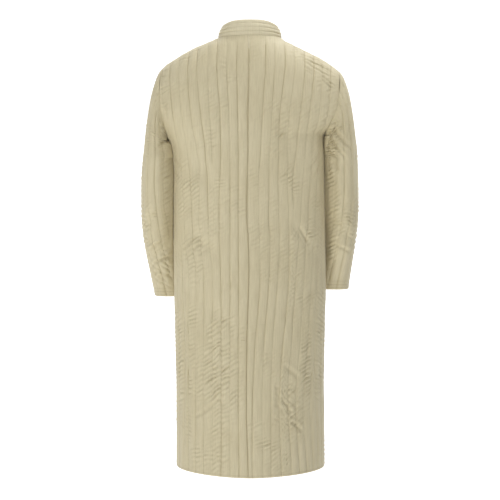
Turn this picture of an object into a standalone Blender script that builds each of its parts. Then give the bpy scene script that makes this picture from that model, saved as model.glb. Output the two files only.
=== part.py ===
"""Gambeson: a long quilted coat with set-in sleeves and a stand collar, filled out as if worn.

Metres, +Z up, the front faces -Y. The origin is the middle of the neck opening, at the neck seam of the back.
Each cut piece is a padded wall: a plain inside, and an outside raised between its quilting lines.
"""
import math

import bmesh
import bpy
import numpy as np

# ---- driving sizes ----
WALL = 0.0062               # padded cloth, at the crest of a channel
STITCHED = 0.0030           # padded cloth, along a quilting line
SEAM_GAP = 0.0003           # between pieces that are sewn together
HEM_Z = -1.197              # neck seam to hem: 1.197 m
BLADE_Z = -0.160            # up to here the back hangs, above it turns over the shoulder
CENTRE_SEAM = 0.0065        # the centre back seam stands this far to the left of the middle
NECK_DROP = 0.058           # the neck seam is this much lower at centre front
LAP = 0.018                 # each front passes the middle by this much
LAP_BLEND = 0.060           # the lower front sinks under the upper one over this width
SLEEVE_PITCH = 0.0262       # width of a sleeve channel
SLEEVE_START = -0.0063      # the line nearest the outer edge lies this much behind (or before) it
BICEP_Z = -0.335            # from here down the sleeve is a plain tube
COLLAR_CHANNELS = 4
BUTTON_RADIUS = 0.0095
BUTTON_HEIGHT = 0.0050
BUTTON_FIRST = -0.085
BUTTON_PITCH = 0.078
BUTTON_COUNT = 10

# Sections of the body: height, half widths, depths behind and before, roundness of each half.
TORSO = {
    "z":     (-1.197, -1.05, -0.93, -0.80, -0.70, -0.56, -0.44, -0.38, -0.334, -0.31, -0.29, -0.275,
              -0.245, -0.20, -0.16, -0.13, -0.110, -0.094, -0.077, -0.060, -0.043, -0.026, -0.010, 0.0),
    "left":  (0.2075, 0.2080, 0.2085, 0.2110, 0.2140, 0.2155, 0.2155, 0.2155, 0.2185, 0.2225, 0.2290, 0.2390,
              0.2600, 0.2790, 0.2765, 0.2700, 0.2625, 0.2540, 0.2366, 0.2114, 0.1834, 0.1526, 0.1120, 0.0905),
    "right": (0.2085, 0.2075, 0.2060, 0.2080, 0.2110, 0.2096, 0.2075, 0.2068, 0.2060, 0.2045, 0.2036, 0.2040,
              0.2380, 0.2680, 0.2720, 0.2690, 0.2620, 0.2478, 0.2254, 0.2002, 0.1666, 0.1330, 0.0985, 0.0865),
    "back":  (0.1600, 0.1500, 0.1420, 0.1335, 0.1300, 0.1270, 0.1270, 0.1280, 0.1285, 0.1285, 0.1285, 0.1280,
              0.1275, 0.1250, 0.1210, 0.1165, 0.1120, 0.1080, 0.1030, 0.0970, 0.0900, 0.0810, 0.0710, 0.0660),
    "front": (0.1500, 0.1450, 0.1420, 0.1390, 0.1370, 0.1350, 0.1350, 0.1360, 0.1370, 0.1370, 0.1370, 0.1360,
              0.1330, 0.1280, 0.1220, 0.1170, 0.1130, 0.1100, 0.1060, 0.1010, 0.0950, 0.0880, 0.0800, 0.0750),
    "back_round":  (1.72, 1.74, 1.76, 1.80, 1.86, 1.94, 2.06, 2.12, 2.16, 2.18, 2.20, 2.20,
                    2.20, 2.20, 2.18, 2.14, 2.10, 2.06, 2.02, 2.00, 2.00, 2.00, 2.00, 2.00),
    "front_round": (1.80, 1.82, 1.84, 1.88, 1.92, 2.00, 2.10, 2.14, 2.16, 2.18, 2.20, 2.20,
                    2.20, 2.20, 2.18, 2.14, 2.10, 2.06, 2.02, 2.00, 2.00, 2.00, 2.00, 2.00),
}
# Armhole: height and distance from the middle, from the armpit up to the shoulder tip.
ARMHOLE = {
    "left":  {"z": (-0.290, -0.275, -0.245, -0.20, -0.13, -0.0880),
              "x": (0.2290, 0.2315, 0.2385, 0.2470, 0.2505, 0.2479)},
    "right": {"z": (-0.275, -0.262, -0.245, -0.20, -0.13, -0.0940),
              "x": (0.2040, 0.2085, 0.2175, 0.2370, 0.2460, 0.2478)},
}
# Side seam: height and its share of the half width, on the back half of the body.
SIDE_SEAM = {
    "z":     (-1.197, -0.95, -0.87, -0.70, -0.51, -0.39, -0.33, -0.275),
    "share": (0.880, 0.835, 0.810, 0.850, 0.910, 0.960, 0.990, 1.000),
}
# Quilting of the body: height, first channel and the others.
QUILT = {
    "z":     (-1.197, -0.87, -0.51, -0.155, 0.0),
    "first": (0.0185, 0.0200, 0.0270, 0.0350, 0.0350),
    "pitch": (0.0255, 0.0262, 0.0275, 0.0278, 0.0278),
}
# Sleeves: height, distance of the outer and inner edge, middle and half of the depth.
SLEEVE = {
    "left": {
        "z":     (-0.7236, -0.66, -0.60, -0.53, -0.465, -0.40, -0.335, -0.28),
        "outer": (0.2735, 0.2850, 0.2960, 0.3040, 0.3065, 0.3055, 0.3005, 0.2950),
        "inner": (0.2160, 0.2180, 0.2200, 0.2210, 0.2220, 0.2230, 0.2245, 0.2260),
        "mid":   (-0.064, -0.052, -0.040, -0.026, -0.016, -0.009, -0.004, -0.002),
        "deep":  (0.0480, 0.0540, 0.0610, 0.0690, 0.0750, 0.0790, 0.0800, 0.0800),
    },
    "right": {
        "z":     (-0.7040, -0.65, -0.60, -0.53, -0.465, -0.40, -0.335, -0.28),
        "outer": (0.2800, 0.2865, 0.2935, 0.3005, 0.3030, 0.3020, 0.2990, 0.2940),
        "inner": (0.2160, 0.2165, 0.2165, 0.2165, 0.2160, 0.2145, 0.2125, 0.2090),
        "mid":   (-0.060, -0.050, -0.040, -0.026, -0.016, -0.009, -0.004, -0.002),
        "deep":  (0.0480, 0.0540, 0.0600, 0.0690, 0.0750, 0.0790, 0.0800, 0.0800),
    },
}
# Collar: top edge, over the back, the sides and the front.
COLLAR_TOP = {"back": 0.0460, "side": 0.0350, "front": -0.0160}
COLLAR_HALF = {"left": 0.0775, "right": 0.0730, "back": 0.0560, "front": 0.0660}

# Largest folds: piece, distance from its straight edge, height, half length, half width, lean, depth.
FOLDS = (
    ("back_left", 0.120, -0.385, 0.060, 0.016, 0.55, 0.0040),
    ("back_left", 0.132, -0.565, 0.055, 0.018, 0.75, 0.0055),
    ("back_left", 0.085, -0.760, 0.070, 0.016, 0.90, 0.0025),
    ("back_right", 0.100, -0.275, 0.060, 0.020, -0.25, 0.0040),
    ("back_right", 0.150, -0.545, 0.050, 0.014, -0.70, 0.0055),
    ("back_right", 0.118, -0.945, 0.080, 0.018, 0.25, 0.0040),
    ("front_left", 0.240, -0.560, 0.070, 0.018, 0.70, 0.0050),
    ("front_left", 0.130, -0.250, 0.060, 0.018, -0.50, 0.0035),
    ("front_right", 0.250, -0.570, 0.070, 0.018, 0.70, 0.0050),
    ("front_right", 0.140, -0.260, 0.060, 0.018, -0.50, 0.0035),
    ("sleeve_left", 0.080, -0.505, 0.050, 0.014, 0.95, 0.0045),
    ("sleeve_left", 0.090, -0.590, 0.050, 0.012, 0.95, 0.0040),
    ("sleeve_left", -0.090, -0.520, 0.055, 0.014, 0.95, 0.0045),
    ("sleeve_right", 0.120, -0.330, 0.060, 0.014, 0.40, 0.0045),
    ("sleeve_right", 0.085, -0.540, 0.050, 0.014, 0.95, 0.0040),
    ("sleeve_right", -0.090, -0.520, 0.055, 0.014, 0.95, 0.0045),
)
STEPS = 3                   # columns of the outside in one channel
SIDES = {"left": 1.0, "right": -1.0}

CLOTH_COLOUR = (0.585, 0.520, 0.375, 1.0)
BUTTON_COLOUR = (0.520, 0.455, 0.320, 1.0)


# ---- smooth curves through the rows of a table ----
def through(x_values, y_values):
    """A smooth curve that doesn't overshoot its rows."""
    x = np.array(x_values, dtype=float)
    y = np.array(y_values, dtype=float)
    order = np.argsort(x)
    x = x[order]
    y = y[order]
    run = np.diff(x)
    rise = np.diff(y) / run
    slope = np.zeros(len(x))
    slope[0] = rise[0]
    slope[-1] = rise[-1]
    for k in range(1, len(x) - 1):
        if rise[k - 1] * rise[k] > 0:
            before = 2 * run[k] + run[k - 1]
            after = run[k] + 2 * run[k - 1]
            slope[k] = (before + after) / (before / rise[k - 1] + after / rise[k])

    def value(at):
        at = min(max(at, x[0]), x[-1])
        k = min(max(int(np.searchsorted(x, at)) - 1, 0), len(run) - 1)
        q = (at - x[k]) / run[k]
        return ((2 * q ** 3 - 3 * q ** 2 + 1) * y[k] + (q ** 3 - 2 * q ** 2 + q) * run[k] * slope[k]
                + (3 * q ** 2 - 2 * q ** 3) * y[k + 1] + (q ** 3 - q ** 2) * run[k] * slope[k + 1])
    return value


def blend(q):
    q = min(max(q, 0.0), 1.0)
    return q * q * (3 - 2 * q)


torso = {name: through(TORSO["z"], TORSO[name]) for name in TORSO if name != "z"}
armhole_x = {side: through(ARMHOLE[side]["z"], ARMHOLE[side]["x"]) for side in SIDES}
seam_share = through(SIDE_SEAM["z"], SIDE_SEAM["share"])
quilt_first = through(QUILT["z"], QUILT["first"])
quilt_pitch = through(QUILT["z"], QUILT["pitch"])
sleeve_size = {side: {name: through(SLEEVE[side]["z"], SLEEVE[side][name])
                      for name in ("outer", "inner", "mid", "deep")} for side in SIDES}


def pit_z(side):
    return ARMHOLE[side]["z"][0]


def tip_z(side):
    return ARMHOLE[side]["z"][-1]


# ---- body ----
def ridge_z(side, x):
    """Height of the shoulder seam at a distance from the middle."""
    low = -0.150
    high = 0.0
    for _ in range(40):
        z = (low + high) / 2
        if torso[side](z) > x:
            low = z
        else:
            high = z
    return (low + high) / 2


def depth_at(side, face, x, z):
    """How far the body stands behind (or before) its middle plane."""
    name = "back" if face > 0 else "front"
    power = torso[name + "_round"](z)
    share = min(abs(x) / torso[side](z), 1.0)
    return torso[name](z) * (1.0 - share ** power) ** (1.0 / power)


section_store = {}


def section(side, z):
    """Half a section from centre back round to centre front: distance along it, x and y."""
    key = (side, round(z, 6))
    if key not in section_store:
        turn = np.linspace(0.0, math.pi, 241)
        half = torso[side](z)
        back = 2.0 / torso["back_round"](z)
        front = 2.0 / torso["front_round"](z)
        behind = turn <= math.pi / 2
        power = np.where(behind, back, front)
        x = half * np.abs(np.sin(turn)) ** power
        deep = np.where(behind, torso["back"](z), torso["front"](z))
        y = np.sign(np.cos(turn)) * deep * np.abs(np.cos(turn)) ** power
        along = np.concatenate(([0.0], np.cumsum(np.hypot(np.diff(x), np.diff(y)))))
        section_store[key] = (along, x, y)
    return section_store[key]


def on_section(side, along, z):
    run, x, y = section(side, z)
    return SIDES[side] * np.interp(along, run, x), np.interp(along, run, y)


def along_to_x(side, face, x, z):
    """Distance along the section, from centre back or centre front, to a given half width."""
    run, xs, ys = section(side, z)
    half = len(run) // 2
    if face > 0:
        return float(np.interp(x, xs[:half + 1], run[:half + 1]))
    return float(run[-1] - np.interp(x, xs[half:][::-1], run[half:][::-1]))


def cloth_edge(side, face, z):
    """Width of a body panel at a height: to the armhole above the armpit, to the side seam below it."""
    if z >= pit_z(side):
        return along_to_x(side, face, armhole_x[side](z), z)
    seam = along_to_x(side, 1.0, seam_share(z) * torso[side](z), z)
    return seam if face > 0 else section(side, z)[0][-1] - seam


def neck_z(side, face, x):
    if face > 0:
        return 0.0
    return -NECK_DROP * (1.0 - min(x / torso[side](0.0), 1.0) ** 2.4)


def body_point(side, face, along, level):
    """A point of the body. Above the blades, level 0 is the shoulder seam or the neck seam."""
    if along < 0:
        side = "right" if side == "left" else "left"
        along = -along
    if level <= BLADE_Z:
        place = along if face > 0 else section(side, level)[0][-1] - along
        x, y = on_section(side, place, level)
        return np.array((x, y, level))
    rise = 1.0 - level / BLADE_Z
    place = along if face > 0 else section(side, BLADE_Z)[0][-1] - along
    low_x = abs(on_section(side, place, BLADE_Z)[0])
    spread = armhole_x[side](tip_z(side)) / armhole_x[side](BLADE_Z)
    x = low_x * (1.0 + blend(rise) * (spread - 1.0))
    top_x = low_x * spread
    neck_half = torso[side](0.0)
    top = ridge_z(side, top_x) if top_x > neck_half else neck_z(side, face, top_x)
    over = blend((top_x - 0.050) / 0.050)
    share = (1.0 - over) * rise + over * math.sin(rise * math.pi / 2)
    z = BLADE_Z + (top - BLADE_Z) * share
    if top_x > neck_half and rise > 0.9999:
        return np.array((SIDES[side] * x, 0.0, z))
    return np.array((SIDES[side] * x, face * depth_at(side, face, x, z), z))


def normal_of(surface, a, b, inside, step_a=0.002, step_b=0.002, top_b=None):
    """Unit normal of a surface, pointing away from the point inside."""
    high = b + step_b if top_b is None else min(b + step_b, top_b)
    across = surface(a + step_a, b) - surface(a - step_a, b)
    up = surface(a, high) - surface(a, b - step_b)
    normal = np.cross(across, up)
    normal = normal / np.linalg.norm(normal)
    if np.dot(normal, surface(a, b) - inside) < 0:
        normal = -normal
    return normal


def lap_sink(from_middle):
    """How far the lower front lies under the upper one, at a distance from centre front."""
    return (WALL + 0.0006) * (1.0 - blend((from_middle - LAP) / LAP_BLEND))


def fold_depth(piece, a, b):
    """How far the largest folds press the wall in, at a place of a piece."""
    deep = 0.0
    for name, place, height, half_long, half_wide, lean, depth in FOLDS:
        if name != piece:
            continue
        across = a - place
        up = b - height
        along = up * math.cos(lean) + across * math.sin(lean)
        aside = across * math.cos(lean) - up * math.sin(lean)
        reach = (along / half_long) ** 2 + (aside / half_wide) ** 2
        deep += depth * math.exp(-reach)
    return deep


def into_panel(surface, along, normal):
    """The way from the neck seam into a body panel, square to the seam."""
    seam = surface(along + 0.001, 0.0) - surface(along - 0.001, 0.0)
    way = np.cross(normal, seam)
    way = way / np.linalg.norm(way)
    if np.dot(way, surface(along, -0.004) - surface(along, 0.0)) < 0:
        way = -way
    return way


# ---- walls ----
class Wall:
    """A closed wall from a fine grid outside and a plain one inside, whose far columns may run off an edge."""

    def __init__(self, name):
        self.name = name
        self.points = []
        self.index = {}
        self.faces = []

    def put(self, key, point):
        if key not in self.index:
            self.index[key] = len(self.points)
            self.points.append(tuple(float(v) for v in point))

    def face(self, *keys):
        corners = []
        for key in keys:
            number = self.index[key]
            if number not in corners:
                corners.append(number)
        if len(corners) > 2:
            self.faces.append(corners)

    def zip(self, one, other):
        """Joins two edges that run the same way; each is a list of (place, key) from start to end."""
        i = 0
        j = 0
        while i < len(one) - 1 or j < len(other) - 1:
            first = one[i + 1][0] if i < len(one) - 1 else 1e9
            second = other[j + 1][0] if j < len(other) - 1 else 1e9
            if first <= second:
                self.face(one[i][1], one[i + 1][1], other[j][1])
                i += 1
            else:
                self.face(one[i][1], other[j + 1][1], other[j][1])
                j += 1

    def make(self, material):
        mesh = bpy.data.meshes.new(self.name)
        mesh.from_pydata(self.points, [], self.faces)
        body = bmesh.new()
        body.from_mesh(mesh)
        bmesh.ops.triangulate(body, faces=[f for f in body.faces if len(f.verts) > 3])
        bmesh.ops.recalc_face_normals(body, faces=body.faces)
        body.to_mesh(mesh)
        body.free()
        mesh.materials.append(material)
        thing = bpy.data.objects.new(self.name, mesh)
        bpy.context.collection.objects.link(thing)
        return thing


def puff(share):
    """Height of the padding across a channel, 0 at its stitch lines and 1 at its crest."""
    return max(0.0, math.sin(math.pi * share)) ** 0.7


# ---- body panels ----
def levels(side):
    pit = pit_z(side)
    low = [HEM_Z, HEM_Z + 0.009]
    low += list(np.linspace(HEM_Z + 0.060, -0.42, 11))
    low += [-0.375, -0.335, (pit - 0.335) / 2]
    hole = list(np.linspace(pit, BLADE_Z, 6))
    high = [BLADE_Z * (1.0 - q) for q in (0.22, 0.42, 0.60, 0.76, 0.90, 1.0)]
    return low + hole + high


def neck_corner(side, face, shift):
    """Distance along a body panel to the corner between its neck and shoulder seams."""
    spread = armhole_x[side](tip_z(side)) / armhole_x[side](BLADE_Z)
    return along_to_x(side, face, torso[side](0.0) / spread, BLADE_Z) - shift


def columns_at(side, face, shift, level):
    """Columns of a body panel at a height: (channels from the straight edge, distance from it)."""
    start = -LAP if face < 0 else SEAM_GAP / 2
    far = cloth_edge(side, face, min(level, BLADE_Z)) - shift - SEAM_GAP / 2
    first = quilt_first(level) if face > 0 else 0.026
    pitch = quilt_pitch(level) if face > 0 else 0.0262
    step = pitch / STEPS
    corner = neck_corner(side, face, shift)
    rise = max(0.0, 1.0 - level / BLADE_Z)
    found = []
    j = 0
    while True:
        channel = j / STEPS
        along = first + (channel - 1.0) * pitch
        if channel < 1.0:
            along = start + channel * (first - start)
        at_corner = abs(corner - along) <= step / 2
        if at_corner:
            along += (corner - along) * rise ** 2
        if at_corner and rise > 0.9999:
            before = found[-1][1]
            for q in (0.2, 0.4, 0.6, 0.8):
                found.append(((j - 1 + q) / STEPS, along - (along - before) * (1.0 - q) ** 2))
        if along > far - 0.3 * step:
            found.append((channel, far))
            return found
        found.append((channel, along))
        j += 1


def panel(piece, side, face, material):
    """Half of the back (face 1) or of the front (face -1)."""
    wall = Wall(piece)
    shift = CENTRE_SEAM * SIDES[side] if face > 0 else 0.0

    def surface(along, level):
        return body_point(side, face, along + shift, level)

    rows = levels(side)
    top = len(rows) - 1
    fine = []
    plain = []
    for i, level in enumerate(rows):
        columns = columns_at(side, face, shift, level)
        fine_row = []
        plain_row = []
        for n, (channel, along) in enumerate(columns):
            at_end = n in (0, len(columns) - 1)
            point = surface(along, level)
            inside = np.array((0.55 * point[0], 0.0, point[2] - 0.08))
            normal = normal_of(surface, along, level, inside, top_b=0.0)
            if i == top and abs(point[1]) < 0.0005:
                normal[1] = 0.0
                normal = normal / np.linalg.norm(normal)
                point[1] = face * SEAM_GAP / 2
                if abs(point[0]) < torso[side](0.0) + 0.001:
                    point[0] += SIDES[side] * SEAM_GAP * 3
            elif i == top:
                point = point + into_panel(surface, along, normal) * SEAM_GAP * 0.6
            sink = fold_depth(piece, along, level)
            if piece == "front_right":
                sink += lap_sink(along)
            relief = puff(channel - math.floor(channel + 1e-6))
            if face < 0 and channel < 1.0:
                relief = 0.55
            if at_end or i in (0, top):
                relief = 0.0
            padding = STITCHED + relief * (WALL - STITCHED)
            wall.put(("o", i, n), point - normal * (sink + WALL - padding))
            fine_row.append((channel, ("o", i, n)))
            if at_end or i == top or abs(channel - round(channel)) < 0.001:
                wall.put(("i", i, n), point - normal * (sink + WALL))
                plain_row.append((channel, ("i", i, n)))
        fine.append(fine_row)
        plain.append(plain_row)
    for i in range(top):
        wall.zip(fine[i], fine[i + 1])
        wall.zip(plain[i + 1], plain[i])
        for end in (0, -1):
            wall.face(fine[i][end][1], fine[i + 1][end][1], plain[i + 1][end][1], plain[i][end][1])
    wall.zip(fine[0], plain[0])
    wall.zip(fine[top], plain[top])
    return wall.make(material)


# ---- sleeves ----
ring_store = {}


def sleeve_ring(side, z):
    """Half a sleeve section from its outer edge to its inner one: distance along it, x and depth."""
    key = (side, round(z, 6))
    if key not in ring_store:
        size = sleeve_size[side]
        turn = np.linspace(0.0, math.pi, 161)
        half = (size["outer"](z) - size["inner"](z)) / 2
        x = size["inner"](z) + half + half * np.cos(turn)
        y = size["deep"](z) * np.sin(turn)
        along = np.concatenate(([0.0], np.cumsum(np.hypot(np.diff(x), np.diff(y)))))
        ring_store[key] = (along, x, y)
    return ring_store[key]


def sleeve_half(side, z):
    return sleeve_ring(side, min(z, BICEP_Z))[0][-1]


def tube_point(side, along, z):
    run, x, y = sleeve_ring(side, z)
    reach = np.interp(abs(along), run, y)
    mid = sleeve_size[side]["mid"](z)
    return np.array((SIDES[side] * np.interp(abs(along), run, x), mid + math.copysign(reach, along), z))


armhole_store = {}


def armhole(side, face):
    """Half an armhole from the shoulder tip to the armpit: share of its length, and its points."""
    key = (side, face)
    if key not in armhole_store:
        turn = np.linspace(0.0, math.pi, 121)
        top = tip_z(side)
        pit = pit_z(side)
        places = []
        for z in pit + (top - pit) * (1.0 + np.cos(turn)) / 2:
            x = armhole_x[side](z)
            places.append((SIDES[side] * x, face * depth_at(side, face, x, z), z))
        places = np.array(places)
        places[0][1] = 0.0
        places[-1][1] = 0.0
        run = np.concatenate(([0.0], np.cumsum(np.linalg.norm(np.diff(places, axis=0), axis=1))))
        armhole_store[key] = (run / run[-1], places)
    return armhole_store[key]


def armhole_point(side, share):
    run, places = armhole(side, 1.0 if share >= 0 else -1.0)
    return np.array([np.interp(abs(share), run, places[:, k]) for k in range(3)])


def sleeve_point(side, along, level):
    """A point of the sleeve. Levels from the bicep up to 0 cover its head, and 0 is the armhole seam."""
    if level <= BICEP_Z:
        return tube_point(side, along, level)
    away = level / BICEP_Z
    low = tube_point(side, along, BICEP_Z)
    share = max(-1.0, min(1.0, along / sleeve_half(side, BICEP_Z)))
    seam = armhole_point(side, share)
    seam[0] += SIDES[side] * SEAM_GAP
    top = math.cos(share * math.pi / 2)
    flank = math.sin(abs(share) * math.pi)
    leave = np.array((SIDES[side] * (0.080 * top + 0.004), math.copysign(0.030 * flank, share),
                      -0.085 + 0.035 * abs(share) ** 2))
    drop = seam[2] - BICEP_Z
    arrive = (low - tube_point(side, along, BICEP_Z - 0.02)) / 0.02
    arrive = -arrive * drop
    q = away
    return ((2 * q ** 3 - 3 * q ** 2 + 1) * seam + (q ** 3 - 2 * q ** 2 + q) * leave
            + (3 * q ** 2 - 2 * q ** 3) * low + (q ** 3 - q ** 2) * arrive)


def sleeve_columns(side, level):
    """Columns round a sleeve: (channels from the line nearest its outer edge, distance from that edge)."""
    half = sleeve_half(side, level)
    step = SLEEVE_PITCH / STEPS
    found = [None]
    j = math.ceil((-half + 0.3 * step - SLEEVE_START) / step)
    first = j
    while j * step + SLEEVE_START <= half - 0.3 * step:
        found.append((j / STEPS, j * step + SLEEVE_START))
        j += 1
    found[0] = ((first - 1) / STEPS, -half)
    found.append((j / STEPS, half))
    return found


def sleeve(piece, side, material):
    wall = Wall(piece)
    cuff = SLEEVE[side]["z"][0]
    rows = [cuff, cuff + 0.006] + list(np.linspace(cuff + 0.048, BICEP_Z, 8))
    rows += [BICEP_Z * (1.0 - q) for q in (0.20, 0.40, 0.58, 0.74, 0.88, 1.0)]
    top = len(rows) - 1

    def surface(along, level):
        return sleeve_point(side, along, level)

    fine = []
    plain = []
    for i, level in enumerate(rows):
        half = sleeve_half(side, level)
        centre = (tube_point(side, 0.0, min(level, BICEP_Z)) + tube_point(side, half, min(level, BICEP_Z))) / 2
        columns = sleeve_columns(side, level)
        fine_row = []
        plain_row = []
        for n, (channel, along) in enumerate(columns):
            at_end = n in (0, len(columns) - 1)
            inside = centre.copy()
            if level > BICEP_Z:
                inside[2] = surface(along, level)[2] - 0.03
            held = min(max(along, 0.0025 - half), half - 0.0025)
            normal = normal_of(surface, held, level, inside, top_b=0.0)
            if at_end:
                normal = normal + normal_of(surface, -held, level, inside, top_b=0.0)
                normal = normal / np.linalg.norm(normal)
            relief = puff(channel - math.floor(channel + 1e-6))
            if at_end or i in (0, top):
                relief = 0.0
            padding = STITCHED + relief * (WALL - STITCHED)
            point = surface(along, level)
            sink = fold_depth(piece, along, level)
            key = n if n < len(columns) - 1 else 0
            wall.put(("o", i, key), point - normal * (sink + WALL - padding))
            fine_row.append((channel, ("o", i, key)))
            if at_end or abs(channel - round(channel)) < 0.001:
                wall.put(("i", i, key), point - normal * (sink + WALL))
                plain_row.append((channel, ("i", i, key)))
        fine.append(fine_row)
        plain.append(plain_row)
    for i in range(top):
        wall.zip(fine[i], fine[i + 1])
        wall.zip(plain[i + 1], plain[i])
    wall.zip(fine[0], plain[0])
    wall.zip(fine[top], plain[top])
    return wall.make(material)


# ---- collar ----
neck_store = {}


def front_neck(side):
    """The front half of the neck seam: share from 0.5 at the side to 1 in the middle, and its points."""
    if side not in neck_store:
        half = torso[side](0.0)
        places = []
        for q in np.linspace(0.0, 1.12, 225):
            x = half * math.cos(math.pi / 2 * q ** 2)
            z = neck_z(side, -1.0, abs(x))
            places.append((SIDES[side] * x, -depth_at(side, -1.0, x, z), z))
        places = np.array(places)
        places[0][1] = 0.0
        run = np.concatenate(([0.0], np.cumsum(np.linalg.norm(np.diff(places, axis=0), axis=1))))
        middle = np.interp(0.0, -np.abs(places[:, 0]) * np.sign(places[:, 0]) * SIDES[side], run)
        neck_store[side] = (0.5 + 0.5 * run / middle, places)
    return neck_store[side]


def neck_loop(share):
    """A point of the neck seam; share runs from -1 at centre front through 0 at centre back to 1."""
    side = "left" if share >= 0 else "right"
    if abs(share) <= 0.5:
        turn = abs(share) * math.pi
        half = torso[side](0.0)
        return np.array((SIDES[side] * half * math.sin(turn), torso["back"](0.0) * math.cos(turn), 0.0))
    at, places = front_neck(side)
    return np.array([np.interp(abs(share), at, places[:, k]) for k in range(3)])


def neck_frame(share):
    """Where the collar is sewn to a body panel: the way the panel faces, and the way into it."""
    foot = neck_loop(share)
    side = "left" if foot[0] >= 0 else "right"
    face = 1.0 if abs(share) < 0.5 else -1.0
    spread = armhole_x[side](tip_z(side)) / armhole_x[side](BLADE_Z)
    along = along_to_x(side, face, abs(foot[0]) / spread, BLADE_Z)

    def surface(a, b):
        return body_point(side, face, a, b)

    inside = np.array((0.5 * foot[0], 0.0, foot[2] - 0.05))
    normal = normal_of(surface, along, 0.0, inside, top_b=0.0)
    seam = neck_loop(share + 0.004) - neck_loop(share - 0.004)
    way = np.cross(normal, seam)
    way = way / np.linalg.norm(way)
    if np.dot(way, np.array((foot[0], foot[1], -0.05))) < 0:
        way = -way
    return normal, way


def collar_top(share):
    side = "left" if share >= 0 else "right"
    turn = abs(share) * math.pi
    x = COLLAR_HALF[side] * math.sin(turn)
    if turn <= math.pi / 2:
        q = math.sin(turn) ** 4
        z = COLLAR_TOP["back"] * (1.0 - q) + COLLAR_TOP["side"] * q
        return np.array((SIDES[side] * x, COLLAR_HALF["back"] * math.cos(turn), z))
    q = blend(-math.cos(turn))
    z = COLLAR_TOP["side"] * (1.0 - q) + COLLAR_TOP["front"] * q
    return np.array((SIDES[side] * x, COLLAR_HALF["front"] * math.cos(turn), z))


def collar_point(share, height):
    """A point of the collar; height runs from 0 at the neck seam to 1 at the top edge."""
    foot = neck_loop(share)
    head = collar_top(share)
    point = foot * (1.0 - height) + head * height
    out = np.array((point[0], point[1], 0.0))
    out = out / np.linalg.norm(out)
    return point + out * 0.004 * math.sin(math.pi * height)


def collar(piece, material):
    wall = Wall(piece)
    count = 51
    at, places = front_neck("left")
    reach = float(np.interp(LAP, -places[:, 0], at))
    shares = [reach * (2.0 * i / (count - 1) - 1.0) for i in range(count)]
    columns = COLLAR_CHANNELS * STEPS
    for i, share in enumerate(shares):
        under = 0.0
        if share < -0.5:
            under = lap_sink(-neck_loop(share)[0])
        for j in range(columns + 1):
            height = j / columns
            normal = normal_of(collar_point, share, height, np.array((0.0, 0.0, -0.03)), 0.004, 0.01)
            point = collar_point(share, height)
            if j == 0:
                normal, into = neck_frame(share)
                room = SEAM_GAP * (0.8 + 5.2 * math.exp(-((abs(share) - 0.53) / 0.09) ** 2))
                point = neck_loop(share) - into * room
            channel = j / STEPS
            edge = i in (0, count - 1) or j in (0, columns)
            relief = 0.0 if edge else puff(channel - math.floor(channel + 1e-6))
            outer = (WALL - STITCHED) * (1.0 - relief)
            wall.put(("o", i, j), point - normal * (under + outer))
            if j % STEPS == 0:
                wall.put(("i", i, j // STEPS), point - normal * (under + WALL))
    for i in range(count - 1):
        for j in range(columns):
            wall.face(("o", i, j), ("o", i, j + 1), ("o", i + 1, j + 1), ("o", i + 1, j))
        for j in range(COLLAR_CHANNELS):
            wall.face(("i", i, j), ("i", i + 1, j), ("i", i + 1, j + 1), ("i", i, j + 1))
        wall.face(("o", i, 0), ("o", i + 1, 0), ("i", i + 1, 0), ("i", i, 0))
        wall.face(("o", i, columns), ("i", i, COLLAR_CHANNELS), ("i", i + 1, COLLAR_CHANNELS),
                  ("o", i + 1, columns))
    for i in (0, count - 1):
        wall.zip([(j / STEPS, ("o", i, j)) for j in range(columns + 1)],
                 [(j, ("i", i, j)) for j in range(COLLAR_CHANNELS + 1)])
    return wall.make(material)


# ---- buttons ----
BUTTON_PROFILE = {
    "radius": (0.88, 1.00, 0.90, 0.55),
    "height": (0.00, 0.30, 0.72, 0.95),
}


def button(number, material):
    """A domed button on the upper front, over its own middle line."""
    level = BUTTON_FIRST - number * BUTTON_PITCH
    if level > BLADE_Z:
        level = BLADE_Z * (1.0 - (level - BLADE_Z) / (-NECK_DROP - BLADE_Z))

    def surface(along, height):
        return body_point("left", -1.0, along, height)

    normal = normal_of(surface, 0.0, level, np.array((0.0, 0.0, level - 0.01)), top_b=0.0)
    sunk = (WALL - STITCHED) * (1.0 - 0.55)
    centre = surface(0.0, level) - normal * sunk + normal * 0.0006
    across = np.array((1.0, 0.0, 0.0))
    up = np.cross(normal, across)
    wall = Wall("button_%02d" % (number + 1))
    spokes = 12
    for r, (radius, height) in enumerate(zip(BUTTON_PROFILE["radius"], BUTTON_PROFILE["height"])):
        for k in range(spokes):
            turn = 2 * math.pi * k / spokes
            place = centre + normal * (height * BUTTON_HEIGHT)
            place = place + (across * math.cos(turn) + up * math.sin(turn)) * radius * BUTTON_RADIUS
            wall.put((r, k), place)
    wall.put("foot", centre)
    wall.put("crown", centre + normal * BUTTON_HEIGHT * 1.02)
    rings = len(BUTTON_PROFILE["radius"])
    for k in range(spokes):
        after = (k + 1) % spokes
        wall.face("foot", (0, after), (0, k))
        for r in range(rings - 1):
            wall.face((r, k), (r, after), (r + 1, after), (r + 1, k))
        wall.face("crown", (rings - 1, k), (rings - 1, after))
    return wall.make(material)


# ---- making the pieces ----
def finish(name, colour, roughness):
    material = bpy.data.materials.new(name)
    material.use_nodes = True
    shader = material.node_tree.nodes["Principled BSDF"]
    shader.inputs["Base Color"].default_value = colour
    shader.inputs["Roughness"].default_value = roughness
    shader.inputs["Metallic"].default_value = 0.0
    return material


for old in list(bpy.data.objects):
    bpy.data.objects.remove(old, do_unlink=True)

cloth = finish("quilted_cloth", CLOTH_COLOUR, 0.62)
knob = finish("covered_button", BUTTON_COLOUR, 0.60)

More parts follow.
